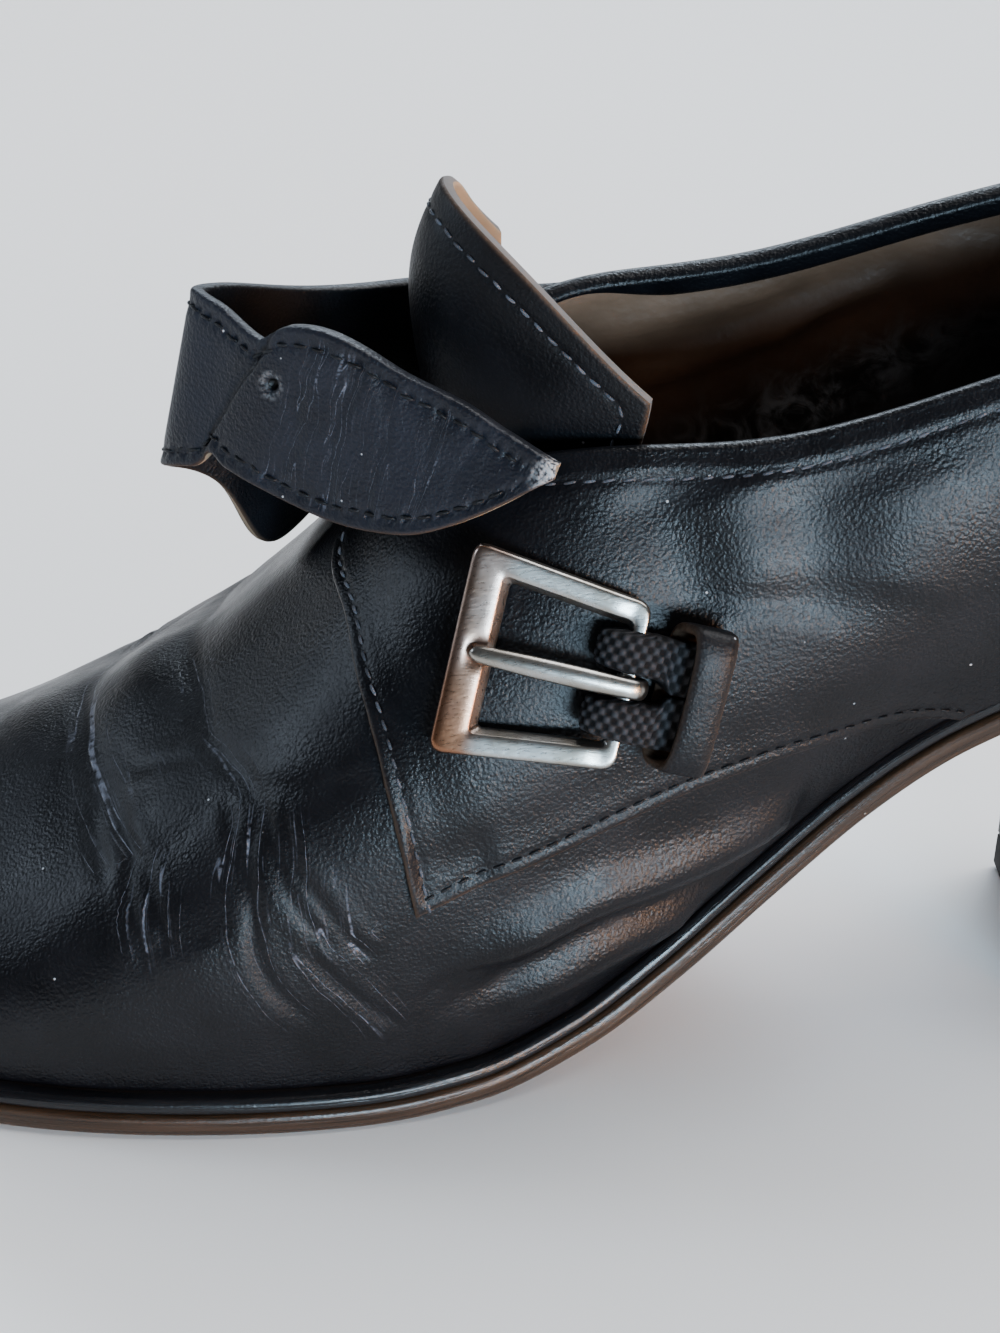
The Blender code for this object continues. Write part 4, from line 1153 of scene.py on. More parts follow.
def quarter_map(front_columns, heel_columns, rows):
    """Station and climb over the lateral quarter, from its front edge to the back of the heel: straight
    lines from lower edge to collar, drawn to the front edge by (1 - part)^1.5."""
    front_part = np.concatenate((QUARTER_FRONT_PARTS, np.linspace(0.04, 1.0, front_columns)))
    up = np.concatenate((QUARTER_LOW_PARTS, 0.08 + 0.92 * crowded(rows, 0.55)))[None, :, None]
    turn = QUARTER_LOWER[-1][0]
    nose = QUARTER_FRONT[-1][0]
    heel = turn * (1.0 - np.linspace(0.0, 1.0, heel_columns + 1)[1:])
    low = open_spline(QUARTER_LOWER, front_part)
    low[-1] = (turn, 0.0)
    low = np.concatenate((low, np.column_stack((heel, 0.0 * heel))))[:, None, :]
    high = np.concatenate((nose + (turn - nose) * front_part, heel))
    high = np.column_stack((high, np.ones(len(high))))[:, None, :]
    straight = low * (1.0 - up) + high * up
    front = open_spline(QUARTER_FRONT, up[0, :, 0])[None]
    fade = np.concatenate((1.0 - front_part, 0.0 * heel))[:, None, None]
    both = straight + fade**1.5 * (front - straight[:1])
    return both[..., 0], np.clip(both[..., 1], 0.0, 1.0)


def tongue_shape():
    """Front face of the tongue: rows bowed by the square of the place across, from the middle line to
    the two edges. With it go the direction to its back and the gaps to its borders."""
    levels, columns = TONGUE_FINENESS
    across = (2.0 * crowded(columns, 0.6) - 1.0)[None, :]
    corner = TONGUE_DROP[0] * np.clip((-across - 0.3) / 0.7, 0.0, 1.0)**4
    corner += TONGUE_DROP[1] * np.clip((across - 0.35) / 0.65, 0.0, 1.0)**2
    row = open_spline(TONGUE_ROWS, crowded(levels, 0.5)[:, None] * (1.0 - corner))
    side = np.where(across[..., None] < 0.0, row[..., 2:5], row[..., 5:8])
    bow = across**2
    x = row[..., 0] + (side[..., 0] - row[..., 0]) * bow
    y = side[..., 1] * np.abs(1.15 * across - 0.15 * across**3)
    z = row[..., 1] + (side[..., 2] - row[..., 1]) * bow
    front = np.stack((x, y, z), axis=-1)
    return front, -grid_square(front), border_gaps(front)


def strap_shape():
    """Middle of the strap: on the wall at the root, straight across past it. With it go the direction to
    its face, the gaps to its borders, the parts across and its length."""
    stations, columns = STRAP_FINENESS
    part = crowded(columns, 0.75)
    root = np.array(STRAP_ROOT)
    climb = root[:, 1:2] * (1.0 - part) + root[:, 2:3] * part
    ends = STRAP_ROWS[:, None, :]
    free_rows = ends[..., :3] * (1.0 - part[:, None]) + ends[..., 3:] * part[:, None]
    rows = np.concatenate((skin(root[:, 0:1], climb, STRAP_LIFT), free_rows)).reshape(-1, columns * 3)
    long_part = np.linspace(0.0, 1.0, stations)
    grid = open_spline(rows, long_part).reshape(-1, columns, 3)
    across = unit(grid[:, -1:] - grid[:, :1])
    upper = table_curve(STRAP_UPPER_SHIFT, long_part)[:, None] * smooth(2.0 * part - 1.0)
    lower = table_curve(STRAP_LOWER_SHIFT, long_part)[:, None] * smooth(1.0 - 2.0 * part)
    grid = grid + across * (upper + lower)[..., None]
    return grid, grid_square(grid), border_gaps(grid), part, run_along(grid[:, columns // 2])[-1]


def tab_lift(long_part, part, total):
    """Rise of the tab over the band of the strap, with a small groove along its start."""
    far = (long_part - TAB_START[0] - TAB_START[1] * part) * total
    return TAB_RISE * smooth(far / 1.6 + 0.5) - 0.25 * bell(far + 0.9, 0.7)


def stitch_mesh(points, squares, seed, slant=0.0, scale=(1.0, 1.0, 1.0)):
    """Stitches along a line: each is a small capsule of rings, whose ends dip by the cube of the place.
    Scale is for pitch, length and width."""
    sizes = bpy.context.scene.monk_sizes
    pitch, length, width = (size / MM * k for size, k in zip(
        (sizes.stitch_pitch, sizes.stitch_length, sizes.thread_width), scale))
    run = run_along(points)
    count = max(2, int(run[-1] / pitch))
    loose = np.random.default_rng(seed)
    at = (np.arange(count) + 0.5) * run[-1] / count
    along = unit(read_line(np.gradient(points, axis=0), run, at))
    square = unit(read_line(squares, run, at))
    lean = slant + loose.normal(0.0, 0.05, count)[:, None]
    along = unit(along + np.cross(square, along) * lean)
    size = loose.uniform(0.85, 1.1, count)[:, None, None]
    ring = STITCH_ROWS[None, :, 0:1]
    thick = STITCH_ROWS[None, :, 1:2] * width / 2.0
    turn = half_angles(STITCH_SIDES)
    far = ring * size * length / 2.0
    wide = thick * np.cos(turn)
    high = thick * (np.sin(turn) + 0.55) - STITCH_SINK * width * np.abs(ring)**3
    mesh = read_line(points, run, at)[:, None, None, :]
    for amount, axis in ((far, along), (wide, np.cross(square, along)), (high, square)):
        mesh = mesh + amount[..., None] * axis[:, None, None, :]
    one = tube_quads(len(STITCH_ROWS), STITCH_SIDES)
    quads = one[None] + len(STITCH_ROWS) * STITCH_SIDES * np.arange(count)[:, None, None]
    return mesh.reshape(-1, 3), quads.reshape(-1, 4)


def put_stitches(name, seams, colour, slot):
    """One piece from several seams, with a thread of its own."""
    points = [seam for seam, _ in seams]
    first = np.cumsum([0] + [len(seam) for seam in points[:-1]])
    quads = [seam_quads + start for (_, seam_quads), start in zip(seams, first)]
    look = material(name.replace("seams", "thread"), thread, colour=colour)
    put_piece(name, np.concatenate(points), np.concatenate(quads), (look,), (), slot)


class SHOE_OT_upper(bpy.types.Operator):
    """Hollow wall of the shoe: creased vamp outside, tan lining inside"""
    bl_idname = "monk_shoe.upper"
    bl_label = "Upper"

    def execute(self, context):
        """Each loop climbs the wall plus its folds, rounds the collar and runs down the lining."""
        depth = context.scene.monk_sizes.crease_depth
        station = np.concatenate([np.arange(0.0, end - start, 1.0 / count) + start
                                  for start, end, count in UPPER_SPANS])[:, None]
        climb = np.linspace(0.0, 1.0, OUTER_ROWS)[None, :]
        base = wall(station, climb)
        out, upward = wall_axes(station, climb)
        flat = base.reshape(-1, 3)
        lift, wear = crease_lift(flat, VAMP_CREASES)
        far_lift, far_wear = crease_lift(flat, VAMP_CREASES, turned=True)
        lift = depth * (lift + MEDIAL_SHARE * far_lift) + wall_relief(flat)
        outer = base + out * (lift.reshape(base.shape[:2]) * smooth(climb / CREASE_FOOT))[..., None]
        turn = np.linspace(0.0, np.pi, COLLAR_ROWS + 2)[1:-1, None]
        half = WALL_THICK / 2.0
        rim = base[:, -1:] + out[:, -1:] * half * (np.cos(turn) - 1.0)
        rim = rim + upward[:, -1:] * 0.5 * half * np.sin(turn)
        down = np.linspace(1.0, 0.0, LINING_ROWS)[None, :]
        inside = wall(station, down)
        flat_inside = inside.reshape(-1, 3)
        fold = fold_lift(flat_inside, LINING_FOLDS)
        fold = depth * (fold + LINING_SHARE * fold_lift(flat_inside, LINING_FOLDS, turned=True))
        fold = fold.reshape(inside.shape[:2]) * smooth((LINING_TOP[0] - down) / LINING_TOP[1])
        inner = inside - wall_axes(station, down)[0] * (WALL_THICK + LINING_FOLD_SCALE * fold)[..., None]
        loops = np.concatenate((outer, rim, inner), axis=1)
        rows, columns = loops.shape[:2]
        deep = np.zeros((rows, columns))
        # Painted shade on the lining: near black toward the insole, fading out higher up.
        deep[:, -LINING_ROWS:] = 1.0 - smooth((down - LINING_PAINTED_SHADE[0]) / LINING_PAINTED_SHADE[1])
        worn = np.zeros((rows, columns))
        worn[:, :OUTER_ROWS] = np.maximum(wear, MEDIAL_SHARE * far_wear).reshape(rows, OUTER_ROWS)
        worn[:, -LINING_ROWS:] = (bell(station - LINING_RUB[0], LINING_RUB[2])
                                  * bell(down - LINING_RUB[1], LINING_RUB[3]))
        drawn = np.zeros((rows, columns, 3))
        flow = flow_place(flat, out.reshape(-1, 3), wall_line(FLOW_LINE, steps=260))
        drawn[:, :OUTER_ROWS] = flow.reshape(base.shape)
        lining = material("tan_lining", soft, colour=context.scene.monk_finish.lining, rough=0.55)
        put_tube("upper_shell", loops, (black_leather(), lining), "upper", "upper_leather", wrap=True,
                 finish=np.tile(np.arange(columns) >= OUTER_ROWS + 2, rows),
                 marks={"wear": worn, "deep": deep, "drawn": drawn})
        return {"FINISHED"}


class SHOE_OT_quarters(bpy.types.Operator):
    """Two quarters over the wall, with a cut front edge and a collar turned over inside"""
    bl_idname = "monk_shoe.quarters"
    bl_label = "Quarters"

    def execute(self, context):
        """The medial quarter is the mirror image in stations of the lateral one."""
        self.build(context, "quarter_lateral", False)
        self.build(context, "quarter_medial", True)
        return {"FINISHED"}

    def build(self, context, node, turned):
        """Face rows climb to the collar, then a half circle turns in and a facing runs down."""
        sizes = context.scene.monk_sizes
        station, climb = quarter_map(*QUARTER_FINENESS)
        where = on_side(station, turned)
        base = wall(where, climb)
        out, upward = wall_axes(where, climb)
        flat = base.reshape(-1, 3)
        cut = np.concatenate((edge_line(QUARTER_LOWER[::-1]), edge_line(QUARTER_FRONT)))
        edge = nearest(flat, wall(on_side(cut[:, 0], turned), cut[:, 1]))[0].reshape(station.shape)
        top = np.linalg.norm(base - base[:, -1:], axis=-1)
        lift = wall_relief(flat).reshape(station.shape)
        groove = ridge(edge - QUARTER_SEAM, QUARTER_GROOVE) + ridge(top - COLLAR_SEAM, COLLAR_GROOVE)
        thick = PANEL_LIFT * (1.0 - ridge(top, QUARTER_SKIVE)) - off_ridge(edge, QUARTER_HOLLOW)
        high = lift + PANEL_FOOT + (thick - PANEL_FOOT) * quarter_round(edge, QUARTER_ROUND) - groove
        face = base + out * high[..., None]
        back = base + out * (np.minimum(lift, 0.0) - QUARTER_SINK)[..., None]
        front = smooth((station[:, -1:] - FACING_FRONT[0]) / FACING_FRONT[1])
        inside = -WALL_THICK - FACING_PROUD + FACING_FLATTER * front
        turn = np.linspace(0.0, np.pi, COLLAR_TURN_POINTS)[None, 1:]
        middle = (high[:, -1:] + inside) / 2.0
        reach = (high[:, -1:] - inside) / 2.0 * np.cos(turn)
        rise = upward[:, -1:] * (sizes.collar_bead / MM * np.sin(turn))[..., None]
        rim = base[:, -1:] + out[:, -1:] * (middle + reach)[..., None] + rise
        rim_back = base[:, -1:] + out[:, -1:] * (middle + 0.4 * reach)[..., None] + 0.3 * rise
        part = np.linspace(0.0, 1.0, FACING_POINTS)[None, 1:]
        deep = sizes.facing_depth / MM * (1.0 - FACING_NARROWER * front)
        down = 1.0 - part * deep / collar_length(where[:, -1:])
        strip = skin(where[:, -1:], down, inside + FACING_TAPER * part**6)
        strip_back = skin(where[:, -1:], down, inside + FACING_THICK)
        face = np.concatenate((face, rim, strip), axis=1)
        back = np.concatenate((back, rim_back, strip_back), axis=1)
        brown = np.zeros(face.shape[:2])
        brown[:, :station.shape[1]] = ridge(edge, QUARTER_RIM)
        raw = material("raw_edge", soft, colour=context.scene.monk_finish.raw_edge, rough=0.75)
        put_sheet(node + "_panel", face, back, (black_leather(), raw, raw), node, "upper_leather",
                  {"rim": brown})


class SHOE_OT_tongue(bpy.types.Operator):
    """Curved tongue that stands in the throat, black in front and beige behind"""
    bl_idname = "monk_shoe.tongue"
    bl_label = "Tongue"

    def execute(self, context):
        """Face and back of a sheet with rounded edges, and a groove along the seam."""
        front, square, gaps = tongue_shape()
        edge = np.min(gaps[1:], axis=0)
        thin = TONGUE_THIN * (1.0 - quarter_round(edge, TONGUE_ROUND))
        face = front + square * (thin + ridge(edge - TONGUE_SEAM, TONGUE_GROOVE))[..., None]
        back = front + square * (TONGUE_THICK - thin)[..., None]
        lining = material("beige_lining", soft, colour=context.scene.monk_finish.pale_lining, rough=0.7)
        rim = material("grey_edge", soft, colour=GREY_EDGE, rough=0.8)
        put_sheet("tongue_leaf", face, back, (matt_leather(), lining, rim), "tongue", "upper_leather",
                  {"rim": ridge(edge, TONGUE_RIM)})
        return {"FINISHED"}


class SHOE_OT_strap(bpy.types.Operator):
    """Strap from the medial quarter over its fold to the pale worn tip"""
    bl_idname = "monk_shoe.strap"
    bl_label = "Strap"

    def execute(self, context):
        """Sheet with puckered seams, a raised tab, creases as bells across it, and a sunk hole."""
        depth = context.scene.monk_sizes.crease_depth
        middle, square, gaps, part, total = strap_shape()
        edge = np.min(gaps[1:], axis=0)
        long_part = np.linspace(0.0, 1.0, len(middle))[:, None]
        pucker = 1.0 + STRAP_PUCKER_SHARE * np.cos(2.0 * np.pi * long_part * total / STRAP_PUCKER)
        lift = tab_lift(long_part, part, total) - pucker * off_ridge(edge, STRAP_GROOVE)
        body = smooth(edge / STRAP_CREASE_EDGE)
        worn = 0.0 * edge
        for low, high, deep, wear in STRAP_CREASES:
            far = (long_part - (low + (high - low) * part)) * total
            far = far + 0.6 * np.sin(part * 9.0 + 40.0 * low)
            lift = lift + depth * body * deep * (off_ridge(far, STRAP_BANK) - bell(far, STRAP_CREASE_HALF))
            worn = np.maximum(worn, wear * body * bell(far, STRAP_WEAR_HALF))
        hole = np.linalg.norm(middle - np.array(STRAP_HOLE), axis=-1)
        pale = 0.9 * smooth(1.0 - (gaps[1] - 0.5) / 3.2) * smooth(1.5 - gaps[2] / 4.0)
        pale = np.maximum(pale, off_ridge(hole, HOLE_RING))
        half = STRAP_THICK / 2.0 * (STRAP_THIN + (1.0 - STRAP_THIN) * quarter_round(edge, STRAP_ROUND))
        sunk = HOLE_DEPTH * np.exp(-(hole / HOLE_RADIUS)**4)
        face = middle + square * (half + lift - sunk)[..., None]
        back = middle - square * half[..., None]
        along = long_part * total - 0.2 * gaps[2]
        drawn = np.stack((1.4 * along, 3.2 * gaps[2], 0.0 * edge), axis=-1)
        punched = material("strap_leather_face", leather, colour=context.scene.monk_finish.strap,
                           grain_depth=0.00013, rough=0.44, dust=0.1, hole=[c * MM for c in STRAP_HOLE])
        rim = material("beige_edge", soft, colour=BEIGE_EDGE, rough=0.8)
        put_sheet("strap_leaf", face, back, (punched, matt_leather(), rim), "strap", "strap_leather",
                  {"wear": np.stack((worn, 0.0 * worn)), "pale": pale, "rim": ridge(gaps[2], STRAP_RIM),
                   "drawn": drawn}, far_edge=0)
        return {"FINISHED"}


class SHOE_OT_keeper(bpy.types.Operator):
    """Leather loop for the strap's end, standing proud of the quarter"""
    bl_idname = "monk_shoe.keeper"
    bl_label = "Keeper"

    def execute(self, context):
        """Ring and section are both squared circles, (cos^a, sin^b). The outer side is crowned."""
        rows, sides = KEEPER_FINENESS
        turn = np.arange(rows)[:, None] * 2.0 * np.pi / rows
        round_turn = half_angles(sides)[None, :]
        across = squarer(np.cos(turn), 0.6)
        out = squarer(np.sin(turn), 0.5)
        wide = squarer(np.cos(round_turn), 0.35)
        deep = (squarer(np.sin(round_turn), 0.7) + 1.0) / 2.0
        outer = (out + 1.0) / 2.0
        inside = KEEPER_THICK * (1.0 - deep)
        centre = (KEEPER_BACK[0] + KEEPER_BACK[1]) / 2.0
        width = (KEEPER_BACK[1] - KEEPER_BACK[0]) / 2.0
        forward = centre - KEEPER_LEAN * outer + (width - KEEPER_NARROW * outer) * wide
        up = across * (KEEPER_HALF - inside)
        crown = outer * (KEEPER_PROUD + 0.3 * (1.0 - wide**2))
        level = (KEEPER_HIGH + KEEPER_LOW) / 2.0 + out * ((KEEPER_HIGH - KEEPER_LOW) / 2.0 - inside)
        loops = buckle_point(forward, up, level + turn_away(forward, up) + crown)
        brown = np.broadcast_to(0.3 * np.abs(wide)**14 + 0.6 * (1.0 - deep), (rows, sides))
        put_tube("keeper_loop", loops, (matt_leather(),), "strap_keeper", "strap_leather", wrap=True,
                 marks={"rim": brown})
        return {"FINISHED"}


class SHOE_OT_buckle(bpy.types.Operator):
    """Square nickel frame with a bevelled window, and its round prong"""
    bl_idname = "monk_shoe.buckle"
    bl_label = "Buckle"

    def execute(self, context):
        """The frame sweeps a section between two loops. The prong is an oval swept along a curve."""
        metal = material("satin_nickel", nickel, colour=context.scene.monk_finish.metal)
        edge_steps, arc_steps, sides = FRAME_FINENESS
        outer = rounded_loop(FRAME_OUTER, FRAME_OUTER_ROUND, edge_steps, arc_steps)
        inner = rounded_loop(FRAME_INNER, FRAME_INNER_ROUND, edge_steps, arc_steps)
        middle = (outer + inner) / 2.0
        section = closed_spline(FRAME_SECTION, np.linspace(0.0, len(FRAME_SECTION), sides, endpoint=False))
        rise = section[None, :, 1]
        off_bar = smooth((middle[:, :1] - 0.8) / 2.5)
        thick = FRAME_BAR_THICK + (FRAME_THICK - FRAME_BAR_THICK) * off_bar
        plan = middle[:, None, :] + (outer - inner)[:, None, :] / 2.0 * section[None, :, :1]
        forward = plan[..., 0]
        up = plan[..., 1]
        notch = (forward > FRONT_BAR) * bell(up, NOTCH_HALF) * np.clip(rise, 0.0, 1.0)
        notch = notch * smooth((NOTCH_END[0] - forward) / NOTCH_END[1])
        out = rise * thick / 2.0 - NOTCH_DEPTH * notch
        # Painted brown reflection on the front bar, stronger low down; the rim mark carries it.
        brown = 0.9 * smooth((forward - 14.5) / 3.0) * (0.6 + 0.4 * smooth((6.0 - up) / 16.0))
        put_tube("buckle_frame_bars", buckle_point(forward, up, out), (metal,), "buckle_frame",
                 "buckle_metal", wrap=True, body="frame", sharp=38.0, marks={"rim": brown})
        rows, sides = PRONG_FINENESS
        ends = np.linspace(0.0, 1.0, rows)
        row = open_spline(PRONG_ROWS, ends)
        along = unit(np.gradient(row[:, :2], axis=0))
        turn = half_angles(sides)[None, :]
        closing = np.clip((ends - PRONG_TIP) / (1.0 - PRONG_TIP), 0.0, 1.0)
        close = np.sqrt(np.clip(1.0 - closing**2, 0.04, 1.0))[:, None]
        wide = np.cos(turn) * row[:, 2:3] / 2.0 * close
        deep = np.sin(turn) * row[:, 3:4] / 2.0 * close
        loops = buckle_point(row[:, 0:1] - along[:, 1:2] * deep, wide, row[:, 1:2] + along[:, 0:1] * deep)
        put_tube("buckle_prong_pin", loops, (metal,), "buckle_prong", "buckle_metal", body="prong",
                 sharp=60.0)
        return {"FINISHED"}


class SHOE_OT_web(bpy.types.Operator):
    """Two pillows of woven elastic that hold the buckle's bar"""
    bl_idname = "monk_shoe.web"
    bl_label = "Elastic web"

    def execute(self, context):
        """Profiles side by side, drawn in at both ends by a half circle, with cos x cos pips on them."""
        rows, sides = WEB_FINENESS
        ring = closed_spline(WEB_SIDE, np.linspace(0.0, len(WEB_SIDE), 901))
        run = run_along(ring)
        at = np.linspace(0.0, run[-1], sides, endpoint=False)
        profile = read_line(ring, run, at)
        tangent = unit(np.roll(profile, -1, 0) - np.roll(profile, 1, 0))
        square = np.column_stack((tangent[:, 1], -tangent[:, 0]))
        square *= np.sign((square * (profile - profile.mean(axis=0))).sum(axis=1).mean())
        cross = crowded(rows, 0.35)[:, None]
        full = np.sqrt(np.clip(1.0 - (2.0 * cross - 1.0)**2, 0.0, 1.0))
        shut = 0.25 + 0.75 * smooth(full / 0.75)
        ahead = np.clip((profile[:, 0] + 5.0) / 5.0, 0.0, 1.0)
        tall = (WEB_LOBE[1] - WEB_LOBE[0]) * cross
        wave = np.cos(2.0 * np.pi * at / WEB_PITCH[0]) * np.cos(2.0 * np.pi * tall / WEB_PITCH[1])
        pip = np.clip(0.35 + 1.1 * wave, 0.0, 1.0)
        lift = WEB_BULGE * (full - 0.55) * ahead + WEB_PIP * (pip - 0.5)
        core = profile * np.array((0.45, 0.4)) + np.array((-2.2, -0.8))
        core[:, 0] = np.where(profile[:, 0] < -2.0, profile[:, 0], core[:, 0])
        shape = core + (profile - core) * shut[..., None] + square * lift[..., None]
        forward = shape[..., 0]
        behind = smooth((-2.5 - forward) / 4.0)
        meet = smooth((-3.7 - profile[:, 0]) / 1.6)
        start = WEB_LOBE[0] + (WEB_MEET - WEB_LOBE[0]) * meet
        woven_look = material("woven_elastic", woven, colour=context.scene.monk_finish.web)
        for node, sign in (("buckle_web_upper", 1.0), ("buckle_web_lower", -1.0)):
            up = sign * (start + (WEB_LOBE[1] - start) * cross)
            loops = buckle_point(forward, up, shape[..., 1] + behind * turn_away(forward, up))
            put_tube(node + "_pillow", loops, (woven_look,), node, "elastic_web",
                     # The wear mark paints shade between the threads and toward the pillows' drawn-in ends.
                     marks={"wear": pip * (0.6 + 0.4 * full)})
        return {"FINISHED"}


class SHOE_OT_sole(bpy.types.Operator):
    """Outsole with a brown edge, black welt above it, and the dark insole"""
    bl_idname = "monk_shoe.sole"
    bl_label = "Sole"

    def execute(self, context):
        """Rings round the feather edge, each a height in the sole and a setback from its overhang."""
        finish = context.scene.monk_finish
        station = (np.arange(SOLE_POINTS) + 0.5) * STATION_COUNT / SOLE_POINTS
        reach = table_curve(SOLE_OVERHANG, feather(station)[0][:, 0])
        rings = np.stack([sole_ring(station, reach - back, high) for high, back in OUTSOLE_EDGE])
        cap = SOLE_POINTS // 2 - 1
        side = (len(OUTSOLE_EDGE) - 1) * SOLE_POINTS
        put_tube("outsole_plate", rings,
                 (material("brown_sole_edge", sole_edge, colour=finish.sole_edge, rough=0.34),
                  material("sole_underside", soft, colour=finish.sole_under, rough=0.6)),
                 "outsole", "sole_leather", finish=np.repeat((0, 1, 0), (side, cap, cap)), sharp=45.0,
                 marks={"drawn": self.streak_place(station, OUTSOLE_EDGE).swapaxes(0, 1)})
        base = OUTSOLE_THICK + GAP
        section = [sole_ring(station, reach - back, base + high) for high, back in WELT_EDGE]
        section += [sole_ring(station, -WELT_INSIDE, base + high) for high in (WELT_THICK, 0.0)]
        hidden = ((0.0, 0.0), (0.0, 0.0))
        put_tube("welt_strip", np.stack(section, axis=1),
                 (material("black_welt", sole_edge, colour=finish.welt, rough=0.3, streak=0.2),),
                 "welt", "welt_leather", wrap=True, sharp=50.0,
                 marks={"drawn": self.streak_place(station, WELT_EDGE + hidden)})
        rings = [sole_ring(station, -INSOLE_INSET - back, STACK + high) for high, back in INSOLE_EDGE]
        put_tube("insole_sock", np.stack(rings),
                 (material("dark_insole", soft, colour=finish.insole, rough=0.45),),
                 "insole", "insole_leather", sharp=40.0)
        return {"FINISHED"}

    def streak_place(self, station, rows):
        """Place for the streaks: mm along the edge, and the height of each row."""
        place = np.zeros((len(station), len(rows), 3))
        place[..., 0] = STATION_LENGTH * station[:, None]
        place[..., 1] = [high for high, _ in rows]
        return place


class SHOE_OT_heel(bpy.types.Operator):
    """Covered block heel and its rubber top piece"""
    bl_idname = "monk_shoe.heel"
    bl_label = "Heel"

    def execute(self, context):
        """The block is rings from sole to floor. The top piece repeats its last ring in other sizes."""
        finish = context.scene.monk_finish
        rings = [self.ring(part, 1.2 * GAP) for part in np.linspace(0.0, 1.0, HEEL_FINENESS[0])]
        cover = material("heel_cover", leather, colour=finish.leather, grain_depth=0.00004, rough=0.36,
                         coat=0.0, mirror=0.14)
        put_tube("heel_block", np.stack(rings), (cover,), "heel", "heel_cover", sharp=40.0)
        foot = self.ring(1.0, GAP)[:, :2]
        middle = foot.mean(axis=0)
        flat = middle + (foot - middle) * HEEL_TOP_EDGE[:, 1, None, None]
        tall = np.broadcast_to(HEEL_TOP_EDGE[:, 0, None, None], flat.shape[:2] + (1,))
        rubber = material("heel_rubber", soft, colour=finish.rubber, rough=0.7, pattern=1400.0)
        put_tube("heel_top", np.concatenate((flat, tall), axis=-1), (rubber,), "heel_top_piece",
                 "heel_rubber", sharp=50.0)
        return {"FINISHED"}

    def ring(self, part, gap):
        """Outline of the heel from the sole, part 0, to the floor end, part 1: 1 - (1 - part)^1.7 of the
        way from the sole's outline to the smaller foot."""
        side = (np.arange(HEEL_FINENESS[1]) + 0.5) / HEEL_FINENESS[1] * HEEL_BREAST
        plan, out = feather(np.concatenate((side, STATION_COUNT - side[::-1])))
        top = plan + out * (table_curve(SOLE_OVERHANG, plan[:, 0]) - HEEL_SETBACK)[:, None]
        height = table_curve(SOLE_PROFILE, top[:, 0]) - gap
        low = top * HEEL_FOOT_SCALE
        low[:, 0] += HEEL_FOOT_START - HEEL_TOP_START * HEEL_FOOT_SCALE
        shape = top + (low - top) * (1.0 - (1.0 - part)**1.7)
        return np.column_stack((shape, height + (HEEL_LIFT + GAP - height) * part))


